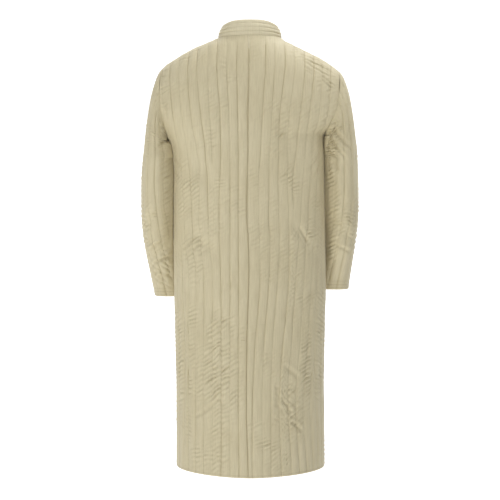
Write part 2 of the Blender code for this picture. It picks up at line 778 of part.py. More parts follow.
panel("back_left", "left", 1.0, cloth)
panel("back_right", "right", 1.0, cloth)
panel("front_left", "left", -1.0, cloth)
panel("front_right", "right", -1.0, cloth)
sleeve("sleeve_left", "left", cloth)
sleeve("sleeve_right", "right", cloth)
collar("collar", cloth)
for place in range(BUTTON_COUNT):
    button(place, knob)
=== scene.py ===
"""Gambeson: the finished look of a long quilted coat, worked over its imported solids.

Metres, +Z up, the front faces -Y. The origin is the middle of the neck opening, at the neck seam of the back.
"""

import math

import bmesh
import bpy
import numpy as np
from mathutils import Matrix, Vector


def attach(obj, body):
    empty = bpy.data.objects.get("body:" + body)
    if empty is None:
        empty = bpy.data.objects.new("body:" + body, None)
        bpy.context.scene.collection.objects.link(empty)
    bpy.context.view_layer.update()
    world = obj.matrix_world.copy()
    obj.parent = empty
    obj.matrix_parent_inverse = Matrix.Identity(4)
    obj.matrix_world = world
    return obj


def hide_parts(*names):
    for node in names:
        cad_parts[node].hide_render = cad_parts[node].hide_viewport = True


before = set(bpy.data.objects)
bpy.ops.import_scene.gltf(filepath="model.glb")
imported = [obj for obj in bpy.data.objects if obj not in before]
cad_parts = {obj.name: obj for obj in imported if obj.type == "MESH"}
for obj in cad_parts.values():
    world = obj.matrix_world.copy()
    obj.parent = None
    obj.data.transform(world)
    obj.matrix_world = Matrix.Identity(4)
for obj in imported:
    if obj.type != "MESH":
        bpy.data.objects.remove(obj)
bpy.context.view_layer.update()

# ---- driving sizes, the same as the solids' ----
WALL = 0.0062               # padded cloth, at the crest of a channel
SEAM_GAP = 0.0003
HEM_Z = -1.197
BLADE_Z = -0.160
CENTRE_SEAM = 0.0065
NECK_DROP = 0.058
LAP = 0.018
LAP_BLEND = 0.060
SLEEVE_PITCH = 0.0262
SLEEVE_START = -0.0063
BICEP_Z = -0.335
COLLAR_CHANNELS = 4
FRONT_FIRST = 0.026
FRONT_PITCH = 0.0262
BUTTON_RADIUS = 0.0095
BUTTON_HEIGHT = 0.0050
BUTTON_FIRST = -0.085
BUTTON_PITCH = 0.078
BUTTON_COUNT = 10

TORSO = {
    "z":     (-1.197, -1.05, -0.93, -0.80, -0.70, -0.56, -0.44, -0.38, -0.334, -0.31, -0.29, -0.275,
              -0.245, -0.20, -0.16, -0.13, -0.110, -0.094, -0.077, -0.060, -0.043, -0.026, -0.010, 0.0),
    "left":  (0.2075, 0.2080, 0.2085, 0.2110, 0.2140, 0.2155, 0.2155, 0.2155, 0.2185, 0.2225, 0.2290, 0.2390,
              0.2600, 0.2790, 0.2765, 0.2700, 0.2625, 0.2540, 0.2366, 0.2114, 0.1834, 0.1526, 0.1120, 0.0905),
    "right": (0.2085, 0.2075, 0.2060, 0.2080, 0.2110, 0.2096, 0.2075, 0.2068, 0.2060, 0.2045, 0.2036, 0.2040,
              0.2380, 0.2680, 0.2720, 0.2690, 0.2620, 0.2478, 0.2254, 0.2002, 0.1666, 0.1330, 0.0985, 0.0865),
    "back":  (0.1600, 0.1500, 0.1420, 0.1335, 0.1300, 0.1270, 0.1270, 0.1280, 0.1285, 0.1285, 0.1285, 0.1280,
              0.1275, 0.1250, 0.1210, 0.1165, 0.1120, 0.1080, 0.1030, 0.0970, 0.0900, 0.0810, 0.0710, 0.0660),
    "front": (0.1500, 0.1450, 0.1420, 0.1390, 0.1370, 0.1350, 0.1350, 0.1360, 0.1370, 0.1370, 0.1370, 0.1360,
              0.1330, 0.1280, 0.1220, 0.1170, 0.1130, 0.1100, 0.1060, 0.1010, 0.0950, 0.0880, 0.0800, 0.0750),
    "back_round":  (1.72, 1.74, 1.76, 1.80, 1.86, 1.94, 2.06, 2.12, 2.16, 2.18, 2.20, 2.20,
                    2.20, 2.20, 2.18, 2.14, 2.10, 2.06, 2.02, 2.00, 2.00, 2.00, 2.00, 2.00),
    "front_round": (1.80, 1.82, 1.84, 1.88, 1.92, 2.00, 2.10, 2.14, 2.16, 2.18, 2.20, 2.20,
                    2.20, 2.20, 2.18, 2.14, 2.10, 2.06, 2.02, 2.00, 2.00, 2.00, 2.00, 2.00),
}
ARMHOLE = {
    "left":  {"z": (-0.290, -0.275, -0.245, -0.20, -0.13, -0.0880),
              "x": (0.2290, 0.2315, 0.2385, 0.2470, 0.2505, 0.2479)},
    "right": {"z": (-0.275, -0.262, -0.245, -0.20, -0.13, -0.0940),
              "x": (0.2040, 0.2085, 0.2175, 0.2370, 0.2460, 0.2478)},
}
SIDE_SEAM = {
    "z":     (-1.197, -0.95, -0.87, -0.70, -0.51, -0.39, -0.33, -0.275),
    "share": (0.880, 0.835, 0.810, 0.850, 0.910, 0.960, 0.990, 1.000),
}
QUILT = {
    "z":     (-1.197, -0.87, -0.51, -0.155, 0.0),
    "pitch": (0.0255, 0.0262, 0.0275, 0.0278, 0.0278),
}
SLEEVE = {
    "left": {
        "z":     (-0.7236, -0.66, -0.60, -0.53, -0.465, -0.40, -0.335, -0.28),
        "outer": (0.2735, 0.2850, 0.2960, 0.3040, 0.3065, 0.3055, 0.3005, 0.2950),
        "inner": (0.2160, 0.2180, 0.2200, 0.2210, 0.2220, 0.2230, 0.2245, 0.2260),
        "mid":   (-0.064, -0.052, -0.040, -0.026, -0.016, -0.009, -0.004, -0.002),
        "deep":  (0.0480, 0.0540, 0.0610, 0.0690, 0.0750, 0.0790, 0.0800, 0.0800),
    },
    "right": {
        "z":     (-0.7040, -0.65, -0.60, -0.53, -0.465, -0.40, -0.335, -0.28),
        "outer": (0.2800, 0.2865, 0.2935, 0.3005, 0.3030, 0.3020, 0.2990, 0.2940),
        "inner": (0.2160, 0.2165, 0.2165, 0.2165, 0.2160, 0.2145, 0.2125, 0.2090),
        "mid":   (-0.060, -0.050, -0.040, -0.026, -0.016, -0.009, -0.004, -0.002),
        "deep":  (0.0480, 0.0540, 0.0600, 0.0690, 0.0750, 0.0790, 0.0800, 0.0800),
    },
}
COLLAR_TOP = {"back": 0.0460, "side": 0.0350, "front": -0.0160}
COLLAR_HALF = {"left": 0.0775, "right": 0.0730, "back": 0.0560, "front": 0.0660}
FOLDS = (
    ("back_left", 0.120, -0.385, 0.060, 0.016, 0.55, 0.0040),
    ("back_left", 0.132, -0.565, 0.055, 0.018, 0.75, 0.0055),
    ("back_left", 0.085, -0.760, 0.070, 0.016, 0.90, 0.0025),
    ("back_right", 0.100, -0.275, 0.060, 0.020, -0.25, 0.0040),
    ("back_right", 0.150, -0.545, 0.050, 0.014, -0.70, 0.0055),
    ("back_right", 0.118, -0.945, 0.080, 0.018, 0.25, 0.0040),
    ("front_left", 0.240, -0.560, 0.070, 0.018, 0.70, 0.0050),
    ("front_left", 0.130, -0.250, 0.060, 0.018, -0.50, 0.0035),
    ("front_right", 0.250, -0.570, 0.070, 0.018, 0.70, 0.0050),
    ("front_right", 0.140, -0.260, 0.060, 0.018, -0.50, 0.0035),
    ("sleeve_left", 0.080, -0.505, 0.050, 0.014, 0.95, 0.0045),
    ("sleeve_left", 0.090, -0.590, 0.050, 0.012, 0.95, 0.0040),
    ("sleeve_left", -0.090, -0.520, 0.055, 0.014, 0.95, 0.0045),
    ("sleeve_right", 0.120, -0.330, 0.060, 0.014, 0.40, 0.0045),
    ("sleeve_right", 0.085, -0.540, 0.050, 0.014, 0.95, 0.0040),
    ("sleeve_right", -0.090, -0.520, 0.055, 0.014, 0.95, 0.0045),
)
SIDES = {"left": 1.0, "right": -1.0}

# ---- sizes of the finer work ----
ROW = {"back": 0.0026, "front": 0.0033, "sleeve": 0.0027}    # between rows of the cloth
EDGE_ROWS = (0.0, 0.0004, 0.0012, 0.0024, 0.0042, 0.0066, 0.0095)
SHARES = (0.0, 0.035, 0.09, 0.17, 0.28, 0.42, 0.58, 0.72, 0.83, 0.91, 0.965)    # columns across a channel
INSIDE = (0, 4, 7)          # those of them that the inside has
INSIDE_ROWS = 4
PADDING = 0.0028            # how far a channel stands over its sewn lines
HOLLOW = {"left": 0.008, "right": 0.019}    # the sleeve's dent beside the body
TOUCH = 0.0002              # between the finished sleeve and the body below the armhole
PRESS = {"left": 0.009, "right": 0.004}     # how far more the sleeve gives there, where it lies on the body
SEWN = 0.00006              # each side's share of the gap along a finished seam
BAND_SINK = 0.0008          # how far the plain front band lies under the channels' crests
EDGE_THICK = 0.0018         # the cloth at the hem, the cuffs and the front edges
EDGE_ROLL = 0.0045          # and how far from there the padding is full
SEAM_THICK = 0.0060         # the same where two pieces are sewn together
SEAM_ROLL = 0.0012
CREASE_GAIN = 1.7           # how much deeper the creases are made than their rows say
WRINKLE_GAIN = {"sleeve": 3.2, "body": 2.1}     # and the wrinkled areas
GRAIN_SCALE = 900.0         # of the thread's twist, in waves a metre
GROOVE = 0.0006             # the thread's bite along a quilting line
HEM_LINES = (0.0055,)       # rows sewn along the hem, up from it
CUFF_LINES = (0.0060, 0.0155, 0.0250)
THREAD_PITCH = 0.0042
THREAD_LONG = 0.0029
THREAD_THICK = 0.00055


# Where the back's sewn lines run, out from the centre seam, and how far that seam sways to the wearer's left.
# Their places were read off the photo at ten heights, and turned into metres along the cloth.
BACK_LINES = {
    "z": (-1.177, -1.009, -0.829, -0.647, -0.562, -0.497, -0.403, -0.316, -0.227, -0.112),
    "sway": (0.0003, 0.0050, 0.0036, -0.0018, -0.0004, 0.0036, 0.0030, 0.0007, 0.0007, -0.0020),
    "left": (
        (0.0245, 0.0266, 0.0261, 0.0259, 0.0270, 0.0266, 0.0271, 0.0260, 0.0283, 0.0306),
        (0.0503, 0.0508, 0.0499, 0.0494, 0.0489, 0.0492, 0.0485, 0.0488, 0.0518, 0.0580),
        (0.0762, 0.0750, 0.0748, 0.0752, 0.0784, 0.0799, 0.0770, 0.0748, 0.0754, 0.0854),
        (0.0891, 0.0883, 0.0873, 0.0875, 0.0938, 0.0958, 0.0970, 0.0995, 0.1037, 0.1112),
        (0.1021, 0.1017, 0.1009, 0.0999, 0.1093, 0.1105, 0.1141, 0.1191, 0.1289, 0.1418),
        (0.1321, 0.1309, 0.1281, 0.1258, 0.1361, 0.1384, 0.1369, 0.1436, 0.1572, 0.1676),
        (0.1608, 0.1577, 0.1552, 0.1503, 0.1605, 0.1624, 0.1665, 0.1758, 0.1839, 0.1950),
        (0.1900, 0.1860, 0.1810, 0.1749, 0.1862, 0.1890, 0.1978, 0.2060, 0.2122, 0.2240),
    ),
    "right": (
        (0.0124, 0.0116, 0.0204, 0.0324, 0.0321, 0.0303, 0.0292, 0.0340, 0.0389, 0.0462),
        (0.0412, 0.0385, 0.0445, 0.0583, 0.0602, 0.0564, 0.0570, 0.0598, 0.0638, 0.0709),
        (0.0647, 0.0629, 0.0685, 0.0828, 0.0869, 0.0853, 0.0819, 0.0841, 0.0856, 0.1006),
        (0.0936, 0.0874, 0.0986, 0.1139, 0.1136, 0.1128, 0.1097, 0.1101, 0.1121, 0.1270),
        (0.1089, 0.1003, 0.1118, 0.1255, 0.1283, 0.1280, 0.1241, 0.1344, 0.1421, 0.1550),
        (0.1240, 0.1145, 0.1237, 0.1359, 0.1431, 0.1486, 0.1547, 0.1636, 0.1686, 0.1814),
        (0.1519, 0.1378, 0.1514, 0.1617, 0.1683, 0.1734, 0.1810, 0.1915, 0.1982, 0.2061),
    ),
}
# Lines that end on their way down: side, line, and the heights over which each dies out.
ENDED = (("left", 4, -0.335, -0.390), ("right", 5, -0.440, -0.490))


# ---- smooth curves through the rows of a table ----
def through(x_values, y_values):
    x = np.array(x_values, dtype=float)
    y = np.array(y_values, dtype=float)
    order = np.argsort(x)
    x = x[order]
    y = y[order]
    run = np.diff(x)
    rise = np.diff(y) / run
    slope = np.zeros(len(x))
    slope[0] = rise[0]
    slope[-1] = rise[-1]
    for k in range(1, len(x) - 1):
        if rise[k - 1] * rise[k] > 0:
            before = 2 * run[k] + run[k - 1]
            after = run[k] + 2 * run[k - 1]
            slope[k] = (before + after) / (before / rise[k - 1] + after / rise[k])

    def value(at):
        at = np.clip(at, x[0], x[-1])
        k = np.clip(np.searchsorted(x, at) - 1, 0, len(run) - 1)
        q = (at - x[k]) / run[k]
        return ((2 * q ** 3 - 3 * q ** 2 + 1) * y[k] + (q ** 3 - 2 * q ** 2 + q) * run[k] * slope[k]
                + (3 * q ** 2 - 2 * q ** 3) * y[k + 1] + (q ** 3 - q ** 2) * run[k] * slope[k + 1])
    return value


def blend(q):
    q = np.clip(q, 0.0, 1.0)
    return q * q * (3 - 2 * q)


def unit(v):
    return v / np.maximum(np.linalg.norm(v, axis=-1, keepdims=True), 1e-12)


torso = {name: through(TORSO["z"], TORSO[name]) for name in TORSO if name != "z"}
armhole_x = {side: through(ARMHOLE[side]["z"], ARMHOLE[side]["x"]) for side in SIDES}
seam_share = through(SIDE_SEAM["z"], SIDE_SEAM["share"])
back_lines = {side: [through(BACK_LINES["z"], row) for row in BACK_LINES[side]] for side in SIDES}
seam_sway = through(BACK_LINES["z"], BACK_LINES["sway"])
quilt_pitch = through(QUILT["z"], QUILT["pitch"])
sleeve_size = {side: {name: through(SLEEVE[side]["z"], SLEEVE[side][name])
                      for name in ("outer", "inner", "mid", "deep")} for side in SIDES}
pit_z = {side: ARMHOLE[side]["z"][0] for side in SIDES}
tip_z = {side: ARMHOLE[side]["z"][-1] for side in SIDES}
spread_at = {side: float(armhole_x[side](tip_z[side]) / armhole_x[side](BLADE_Z)) for side in SIDES}
ridge_heights = np.linspace(-0.150, 0.0, 3001)
ridge_widths = {side: torso[side](ridge_heights) for side in SIDES}


# ---- body ----
def ridge_z(side, x):
    return np.interp(x, ridge_widths[side][::-1], ridge_heights[::-1])


def depth_at(side, face, x, z):
    name = "back" if face > 0 else "front"
    power = torso[name + "_round"](z)
    share = np.minimum(np.abs(x) / torso[side](z), 1.0)
    return torso[name](z) * (1.0 - share ** power) ** (1.0 / power)


section_store = {}


def section(side, z):
    key = (side, round(float(z), 7))
    if key not in section_store:
        turn = np.linspace(0.0, math.pi, 721)
        half = torso[side](z)
        back = 2.0 / torso["back_round"](z)
        front = 2.0 / torso["front_round"](z)
        behind = turn <= math.pi / 2
        power = np.where(behind, back, front)
        x = half * np.abs(np.sin(turn)) ** power
        deep = np.where(behind, torso["back"](z), torso["front"](z))
        y = np.sign(np.cos(turn)) * deep * np.abs(np.cos(turn)) ** power
        along = np.concatenate(([0.0], np.cumsum(np.hypot(np.diff(x), np.diff(y)))))
        section_store[key] = (along, x, y)
    return section_store[key]


def along_to_x(side, face, x, z):
    run, xs, _ = section(side, z)
    half = len(run) // 2
    if face > 0:
        return float(np.interp(x, xs[:half + 1], run[:half + 1]))
    return float(run[-1] - np.interp(x, xs[half:][::-1], run[half:][::-1]))


def cloth_edge(side, face, z):
    if z >= pit_z[side]:
        return along_to_x(side, face, armhole_x[side](z), z)
    seam = along_to_x(side, 1.0, seam_share(z) * torso[side](z), z)
    return seam if face > 0 else section(side, z)[0][-1] - seam


def neck_z(side, face, x):
    if face > 0:
        return np.zeros_like(x)
    return -NECK_DROP * (1.0 - np.minimum(x / torso[side](0.0), 1.0) ** 2.4)


def half_row(side, face, along, level):
    run, xs, ys = section(side, min(level, BLADE_Z))
    place = along if face > 0 else run[-1] - along
    low_x = np.interp(place, run, xs)
    if level <= BLADE_Z:
        y = np.interp(place, run, ys)
        return np.stack((SIDES[side] * low_x, y, np.full(len(y), level)), axis=1)
    rise = 1.0 - level / BLADE_Z
    x = low_x * (1.0 + blend(rise) * (spread_at[side] - 1.0))
    top_x = low_x * spread_at[side]
    neck_half = torso[side](0.0)
    top = np.where(top_x > neck_half, ridge_z(side, top_x), neck_z(side, face, top_x))
    over = blend((top_x - 0.050) / 0.050)
    share = (1.0 - over) * rise + over * math.sin(rise * math.pi / 2)
    z = BLADE_Z + (top - BLADE_Z) * share
    y = face * depth_at(side, face, x, z)
    if rise > 0.9999:
        y = np.where(top_x > neck_half, 0.0, y)
    return np.stack((SIDES[side] * x, y, z), axis=1)


def body_row(side, face, along, level):
    """Points of the body at one level. Above the blades, level 0 is the shoulder seam or the neck seam."""
    other = "right" if side == "left" else "left"
    along = np.asarray(along, dtype=float)
    points = np.empty((len(along), 3))
    past = along < 0
    if past.any():
        points[past] = half_row(other, face, -along[past], level)
    if not past.all():
        points[~past] = half_row(side, face, along[~past], level)
    return points


def row_normals(surface, along, level, top=None, step=0.002):
    high = level + step if top is None else min(level + step, top)
    across = surface(along + step, level) - surface(along - step, level)
    up = surface(along, high) - surface(along, level - step)
    return unit(np.cross(across, up))


def lap_sink(from_middle):
    return (WALL + 0.0006) * (1.0 - blend((from_middle - LAP) / LAP_BLEND))


# ---- sleeves ----
ring_store = {}


def lean_in(side, z):
    """How far the inner side of the finished sleeve comes in, to hang against the body."""
    size = sleeve_size[side]
    mid = size["mid"](z)
    body = depth_at(side, np.sign(mid), 0.0, z)
    power = torso["back_round" if mid > 0 else "front_round"](z)
    body = torso[side](z) * (1.0 - np.abs(mid / body) ** power) ** (1.0 / power)
    return max(0.0, float(size["inner"](z) - body) - TOUCH)


def sleeve_ring(side, z):
    key = (side, round(float(z), 7))
    if key not in ring_store:
        size = sleeve_size[side]
        turn = np.linspace(0.0, math.pi, 481)
        half = (size["outer"](z) - size["inner"](z)) / 2
        x = size["inner"](z) + half + half * np.cos(turn)
        x = x - lean_in(side, z) * blend((0.25 - np.cos(turn)) / 1.25)
        y = size["deep"](z) * np.sin(turn)
        along = np.concatenate(([0.0], np.cumsum(np.hypot(np.diff(x), np.diff(y)))))
        ring_store[key] = (along, x, y)
    return ring_store[key]


def sleeve_half(side, z):
    return sleeve_ring(side, min(z, BICEP_Z))[0][-1]


def body_side(side, y, z):
    """How far out the body's outer surface is, at a depth and a height below the armhole."""
    power = np.where(y > 0, torso["back_round"](z), torso["front_round"](z))
    share = np.minimum(np.abs(y) / np.where(y > 0, torso["back"](z), torso["front"](z)), 1.0)
    return torso[side](z) * (1.0 - share ** power) ** (1.0 / power)


def pressed_in(side, spots, turn):
    """The sleeve's inner side moved in as far as it gives, and kept outside the body all along it."""
    out = np.abs(spots[:, 0])
    y = spots[:, 1]
    z = spots[:, 2]
    body = body_side(side, y, z) + TOUCH
    give = PRESS[side] * blend((turn - 0.58) / 0.30) * blend((z - SLEEVE[side]["z"][0]) / 0.05)
    out = np.minimum(out, np.maximum(out - give, body))
    out = np.maximum(out, np.where(turn > 0.5, body, 0.0))
    return np.stack((SIDES[side] * out, y, z), axis=1)


def tube_row(side, along, z):
    run, x, y = sleeve_ring(side, z)
    turn = np.abs(along) / run[-1]
    hollow = HOLLOW[side] * np.exp(-((turn - 0.76) / 0.12) ** 2) * blend((1.0 - turn) / 0.06)
    hollow = hollow * float(blend((z - SLEEVE[side]["z"][0]) / 0.12))
    reach = np.interp(np.abs(along), run, y) - np.where(along > 0, hollow, 0.4 * hollow)
    out = np.interp(np.abs(along), run, x)
    y = sleeve_size[side]["mid"](z) + np.copysign(reach, along)
    return pressed_in(side, np.stack((SIDES[side] * out, y, np.full(len(y), z)), axis=1), turn)


armhole_store = {}


def armhole(side, face):
    key = (side, face)
    if key not in armhole_store:
        turn = np.linspace(0.0, math.pi, 361)
        z = pit_z[side] + (tip_z[side] - pit_z[side]) * (1.0 + np.cos(turn)) / 2
        x = armhole_x[side](z)
        places = np.stack((SIDES[side] * x, face * depth_at(side, face, x, z), z), axis=1)
        places[0, 1] = 0.0
        places[-1, 1] = 0.0
        run = np.concatenate(([0.0], np.cumsum(np.linalg.norm(np.diff(places, axis=0), axis=1))))
        armhole_store[key] = (run / run[-1], places)
    return armhole_store[key]


def sleeve_row(side, along, level):
    """Points of the sleeve. Levels from the bicep up to 0 cover its head, and 0 is the armhole seam."""
    along = np.asarray(along, dtype=float)
    if level <= BICEP_Z:
        return tube_row(side, along, level)
    half = sleeve_half(side, BICEP_Z)
    spots = head_row(side, np.append(along, half), level)
    inmost = abs(spots[-1, 0])
    gap = max(0.0, inmost - float(torso[side](min(spots[-1, 2], pit_z[side]))) - TOUCH)
    turn = np.abs(np.append(along, half)) / half
    spots[:, 0] -= SIDES[side] * gap * blend((turn - 0.6) / 0.4)
    low = spots[:, 2] < pit_z[side]
    spots[low] = pressed_in(side, spots[low], turn[low])
    return spots[:-1]


def head_row(side, along, level):
    q = level / BICEP_Z
    low = tube_row(side, along, BICEP_Z)
    share = np.clip(along / sleeve_half(side, BICEP_Z), -1.0, 1.0)
    seam = np.empty_like(low)
    for face in (1.0, -1.0):
        run, places = armhole(side, face)
        mask = (share >= 0) if face > 0 else (share < 0)
        for k in range(3):
            seam[mask, k] = np.interp(np.abs(share[mask]), run, places[:, k])
    seam[:, 0] += SIDES[side] * SEWN
    top = np.cos(share * math.pi / 2)
    flank = np.sin(np.abs(share) * math.pi)
    leave = np.stack((SIDES[side] * (0.080 * top + 0.004), np.copysign(0.030 * flank, share),
                      -0.085 + 0.035 * share ** 2), axis=1)
    drop = (seam[:, 2] - BICEP_Z)[:, None]
    arrive = -(low - tube_row(side, along, BICEP_Z - 0.02)) / 0.02 * drop
    return ((2 * q ** 3 - 3 * q ** 2 + 1) * seam + (q ** 3 - 2 * q ** 2 + q) * leave
            + (3 * q ** 2 - 2 * q ** 3) * low + (q ** 3 - q ** 2) * arrive)


# ---- unevenness ----
lattice = np.random.default_rng(11).uniform(-1.0, 1.0, (12, 64, 64))


def noise(layer, u, v):
    """Smooth noise from -1 to 1 over a plane whose unit is one bump."""
    u, v = np.broadcast_arrays(np.asarray(u, dtype=float), np.asarray(v, dtype=float))
    i = np.floor(u).astype(int)
    j = np.floor(v).astype(int)
    s = u - i
    t = v - j
    s = s * s * s * (s * (6 * s - 15) + 10)
    t = t * t * t * (t * (6 * t - 15) + 10)
    grid = lattice[layer]
    low = grid[i % 64, j % 64] * (1 - s) + grid[(i + 1) % 64, j % 64] * s
    high = grid[i % 64, (j + 1) % 64] * (1 - s) + grid[(i + 1) % 64, (j + 1) % 64] * s
    return low * (1 - t) + high * t


def folds(piece, a, b):
    """How far the largest folds press the wall in, each with a soft lip along both sides."""
    deep = np.zeros(len(a))
    for name, place, height, half_long, half_wide, lean, depth in FOLDS:
        if name != piece:
            continue
        across = a - place
        up = b - height
        along = up * math.cos(lean) + across * math.sin(lean)
        aside = (across * math.cos(lean) - up * math.sin(lean)) / half_wide
        hollow = np.exp(-aside ** 2)
        lips = 0.22 * np.exp(-((np.abs(aside) - 2.0) / 0.8) ** 2)
        deep += depth * np.exp(-(along / half_long) ** 2) * (hollow - lips)
    return deep


# Creases: piece, start and end as distance from the straight edge and height, half width, depth, bow.
CREASES = (
    ("back_right", 0.130, -0.065, 0.206, -0.052, 0.0030, 0.0008, 0.02),
    ("back_right", 0.153, -0.074, 0.239, -0.082, 0.0026, 0.0013, 0.03),
    ("back_right", 0.155, -0.084, 0.228, -0.102, 0.0028, 0.0013, -0.02),
    ("back_right", 0.193, -0.064, 0.251, -0.082, 0.0030, 0.0008, 0.03),
    ("back_right", 0.205, -0.112, 0.248, -0.132, 0.0026, 0.0012, 0.02),
    ("back_right", 0.211, -0.125, 0.242, -0.142, 0.0024, 0.0013, -0.02),
    ("back_right", 0.155, -0.099, 0.178, -0.108, 0.0024, 0.0010, 0.00),
    ("back_right", 0.155, -0.108, 0.175, -0.114, 0.0022, 0.0008, 0.00),
    ("back_right", 0.221, -0.158, 0.234, -0.150, 0.0026, 0.0010, 0.10),
    ("back_right", 0.216, -0.176, 0.232, -0.168, 0.0026, 0.0008, 0.10),
    ("back_left", 0.205, -0.056, 0.156, -0.071, 0.0034, 0.0010, -0.03),
    ("back_left", 0.193, -0.044, 0.122, -0.051, 0.0030, 0.0008, -0.02),
    ("back_left", 0.251, -0.063, 0.231, -0.072, 0.0026, 0.0009, 0.00),
    ("back_left", 0.254, -0.085, 0.229, -0.100, 0.0026, 0.0010, 0.05),
    ("back_left", 0.254, -0.114, 0.227, -0.117, 0.0022, 0.0007, 0.05),
    ("back_left", 0.253, -0.139, 0.229, -0.132, 0.0028, 0.0011, 0.05),
    ("back_left", 0.251, -0.162, 0.231, -0.148, 0.0022, 0.0008, 0.00),
    ("back_left", 0.246, -0.197, 0.227, -0.185, 0.0024, 0.0011, 0.08),
    ("back_left", 0.240, -0.210, 0.226, -0.195, 0.0024, 0.0008, 0.00),
    ("back_left", 0.2315, -0.185, 0.2340, -0.240, 0.0035, 0.0018, 0.00),
    ("back_left", 0.252, -0.306, 0.192, -0.368, 0.0060, 0.0010, 0.05),
    ("back_left", 0.256, -0.334, 0.206, -0.398, 0.0050, 0.0008, 0.04),
    ("back_right", 0.226, -0.308, 0.170, -0.374, 0.0060, 0.0014, 0.05),
    ("back_right", 0.228, -0.336, 0.186, -0.398, 0.0055, 0.0014, 0.04),
    ("back_right", 0.147, -0.526, 0.176, -0.571, 0.0034, 0.0017, 0.00),
    ("back_right", 0.163, -0.522, 0.184, -0.548, 0.0030, 0.0008, 0.00),
    ("back_left", 0.203, -0.590, 0.148, -0.549, 0.0040, 0.0013, 0.05),
    ("back_left", 0.170, -0.592, 0.118, -0.558, 0.0038, 0.0011, 0.05),
    ("back_left", 0.145, -0.604, 0.104, -0.580, 0.0036, 0.0010, 0.00),
    ("back_left", 0.166, -1.046, 0.084, -0.989, 0.0050, 0.0012, 0.05),
    ("back_left", 0.070, -0.700, 0.030, -0.650, 0.0070, 0.0012, 0.05),
    ("back_right", 0.079, -0.945, 0.0795, -1.016, 0.0058, 0.0020, 0.03),
    ("back_right", 0.124, -1.052, 0.160, -1.083, 0.0054, 0.0017, 0.03),
    ("back_right", 0.092, -0.985, 0.126, -1.040, 0.0048, 0.0014, 0.05),
    ("back_right", 0.100, -0.900, 0.150, -0.940, 0.0065, 0.0012, 0.05),
    ("sleeve_left", 0.058, -0.592, 0.112, -0.563, 0.0040, 0.0022, 0.05),
    ("sleeve_left", 0.046, -0.636, 0.130, -0.606, 0.0042, 0.0021, 0.04),
    ("sleeve_left", 0.150, -0.030, 0.135, -0.120, 0.0050, 0.0020, 0.10),
    ("sleeve_left", 0.186, -0.060, 0.118, -0.235, 0.0040, 0.0034, 0.00),
    ("sleeve_left", 0.186, -0.040, 0.128, -0.190, 0.0055, 0.0028, 0.06),
    ("sleeve_right", 0.140, -0.050, 0.072, -0.300, 0.0055, 0.0027, 0.06),
    ("sleeve_right", 0.150, -0.080, 0.092, -0.345, 0.0050, 0.0025, 0.05),
    ("sleeve_right", 0.160, -0.110, 0.112, -0.384, 0.0050, 0.0026, 0.05),
    ("sleeve_right", 0.172, -0.160, 0.136, -0.400, 0.0045, 0.0024, 0.04),
    ("sleeve_right", 0.120, -0.380, 0.168, -0.290, 0.0045, 0.0020, 0.04),
    ("sleeve_right", 0.050, -0.600, 0.110, -0.575, 0.0045, 0.0014, 0.04),
    ("front_left", 0.300, -0.312, 0.215, -0.392, 0.0065, 0.0022, 0.05),
    ("front_left", 0.305, -0.345, 0.240, -0.420, 0.0055, 0.0016, 0.04),
    ("front_left", 0.262, -0.520, 0.205, -0.575, 0.0060, 0.0022, 0.04),
    ("front_left", 0.285, -0.550, 0.225, -0.602, 0.0050, 0.0018, 0.04),
    ("front_left", 0.150, -0.060, 0.250, -0.085, 0.0036, 0.0014, 0.03),
    ("front_left", 0.140, -0.080, 0.240, -0.110, 0.0034, 0.0012, 0.03),
    ("front_left", 0.120, -0.960, 0.090, -1.050, 0.0070, 0.0018, 0.04),
    ("front_right", 0.295, -0.305, 0.220, -0.380, 0.0065, 0.0022, 0.05),
    ("front_right", 0.300, -0.350, 0.250, -0.425, 0.0055, 0.0016, 0.04),
    ("front_right", 0.250, -0.515, 0.200, -0.565, 0.0060, 0.0022, 0.04),
    ("front_right", 0.275, -0.545, 0.220, -0.606, 0.0050, 0.0018, 0.04),
    ("front_right", 0.145, -0.058, 0.245, -0.080, 0.0036, 0.0014, 0.03),
    ("front_right", 0.150, -0.085, 0.235, -0.112, 0.0034, 0.0012, 0.03),
    ("front_right", 0.150, -0.900, 0.115, -1.010, 0.0070, 0.0018, 0.04),
    ("sleeve_left", -0.150, -0.040, -0.100, -0.260, 0.0055, 0.0022, 0.06),
    ("sleeve_left", -0.168, -0.120, -0.130, -0.350, 0.0050, 0.0022, 0.05),
    ("sleeve_right", -0.150, -0.050, -0.095, -0.280, 0.0055, 0.0022, 0.06),
    ("sleeve_right", -0.170, -0.140, -0.135, -0.360, 0.0050, 0.0022, 0.05),
)
# Gathers: piece, middle, height, how many, apart, lean, length, half width, depth.
GATHERS = (
    ("back_right", 0.222, -0.220, 7, 0.0100, 1.45, 0.022, 0.0022, 0.0011),
    ("sleeve_left", 0.030, -0.028, 9, 0.0150, 0.10, 0.060, 0.0028, 0.0010),
    ("sleeve_left", 0.160, -0.045, 6, 0.0085, 0.15, 0.070, 0.0028, 0.0018),
    ("sleeve_right", 0.030, -0.028, 9, 0.0150, -0.10, 0.060, 0.0028, 0.0010),
    ("sleeve_right", 0.160, -0.045, 6, 0.0090, 0.25, 0.080, 0.0028, 0.0020),
    ("sleeve_left", -0.080, -0.030, 9, 0.0150, 0.10, 0.060, 0.0028, 0.0010),
    ("sleeve_right", -0.080, -0.030, 9, 0.0150, -0.10, 0.060, 0.0028, 0.0010),
    ("front_left", 0.232, -0.215, 8, 0.0100, 1.50, 0.024, 0.0024, 0.0013),
    ("front_right", 0.230, -0.210, 8, 0.0100, 1.60, 0.024, 0.0024, 0.0013),
)
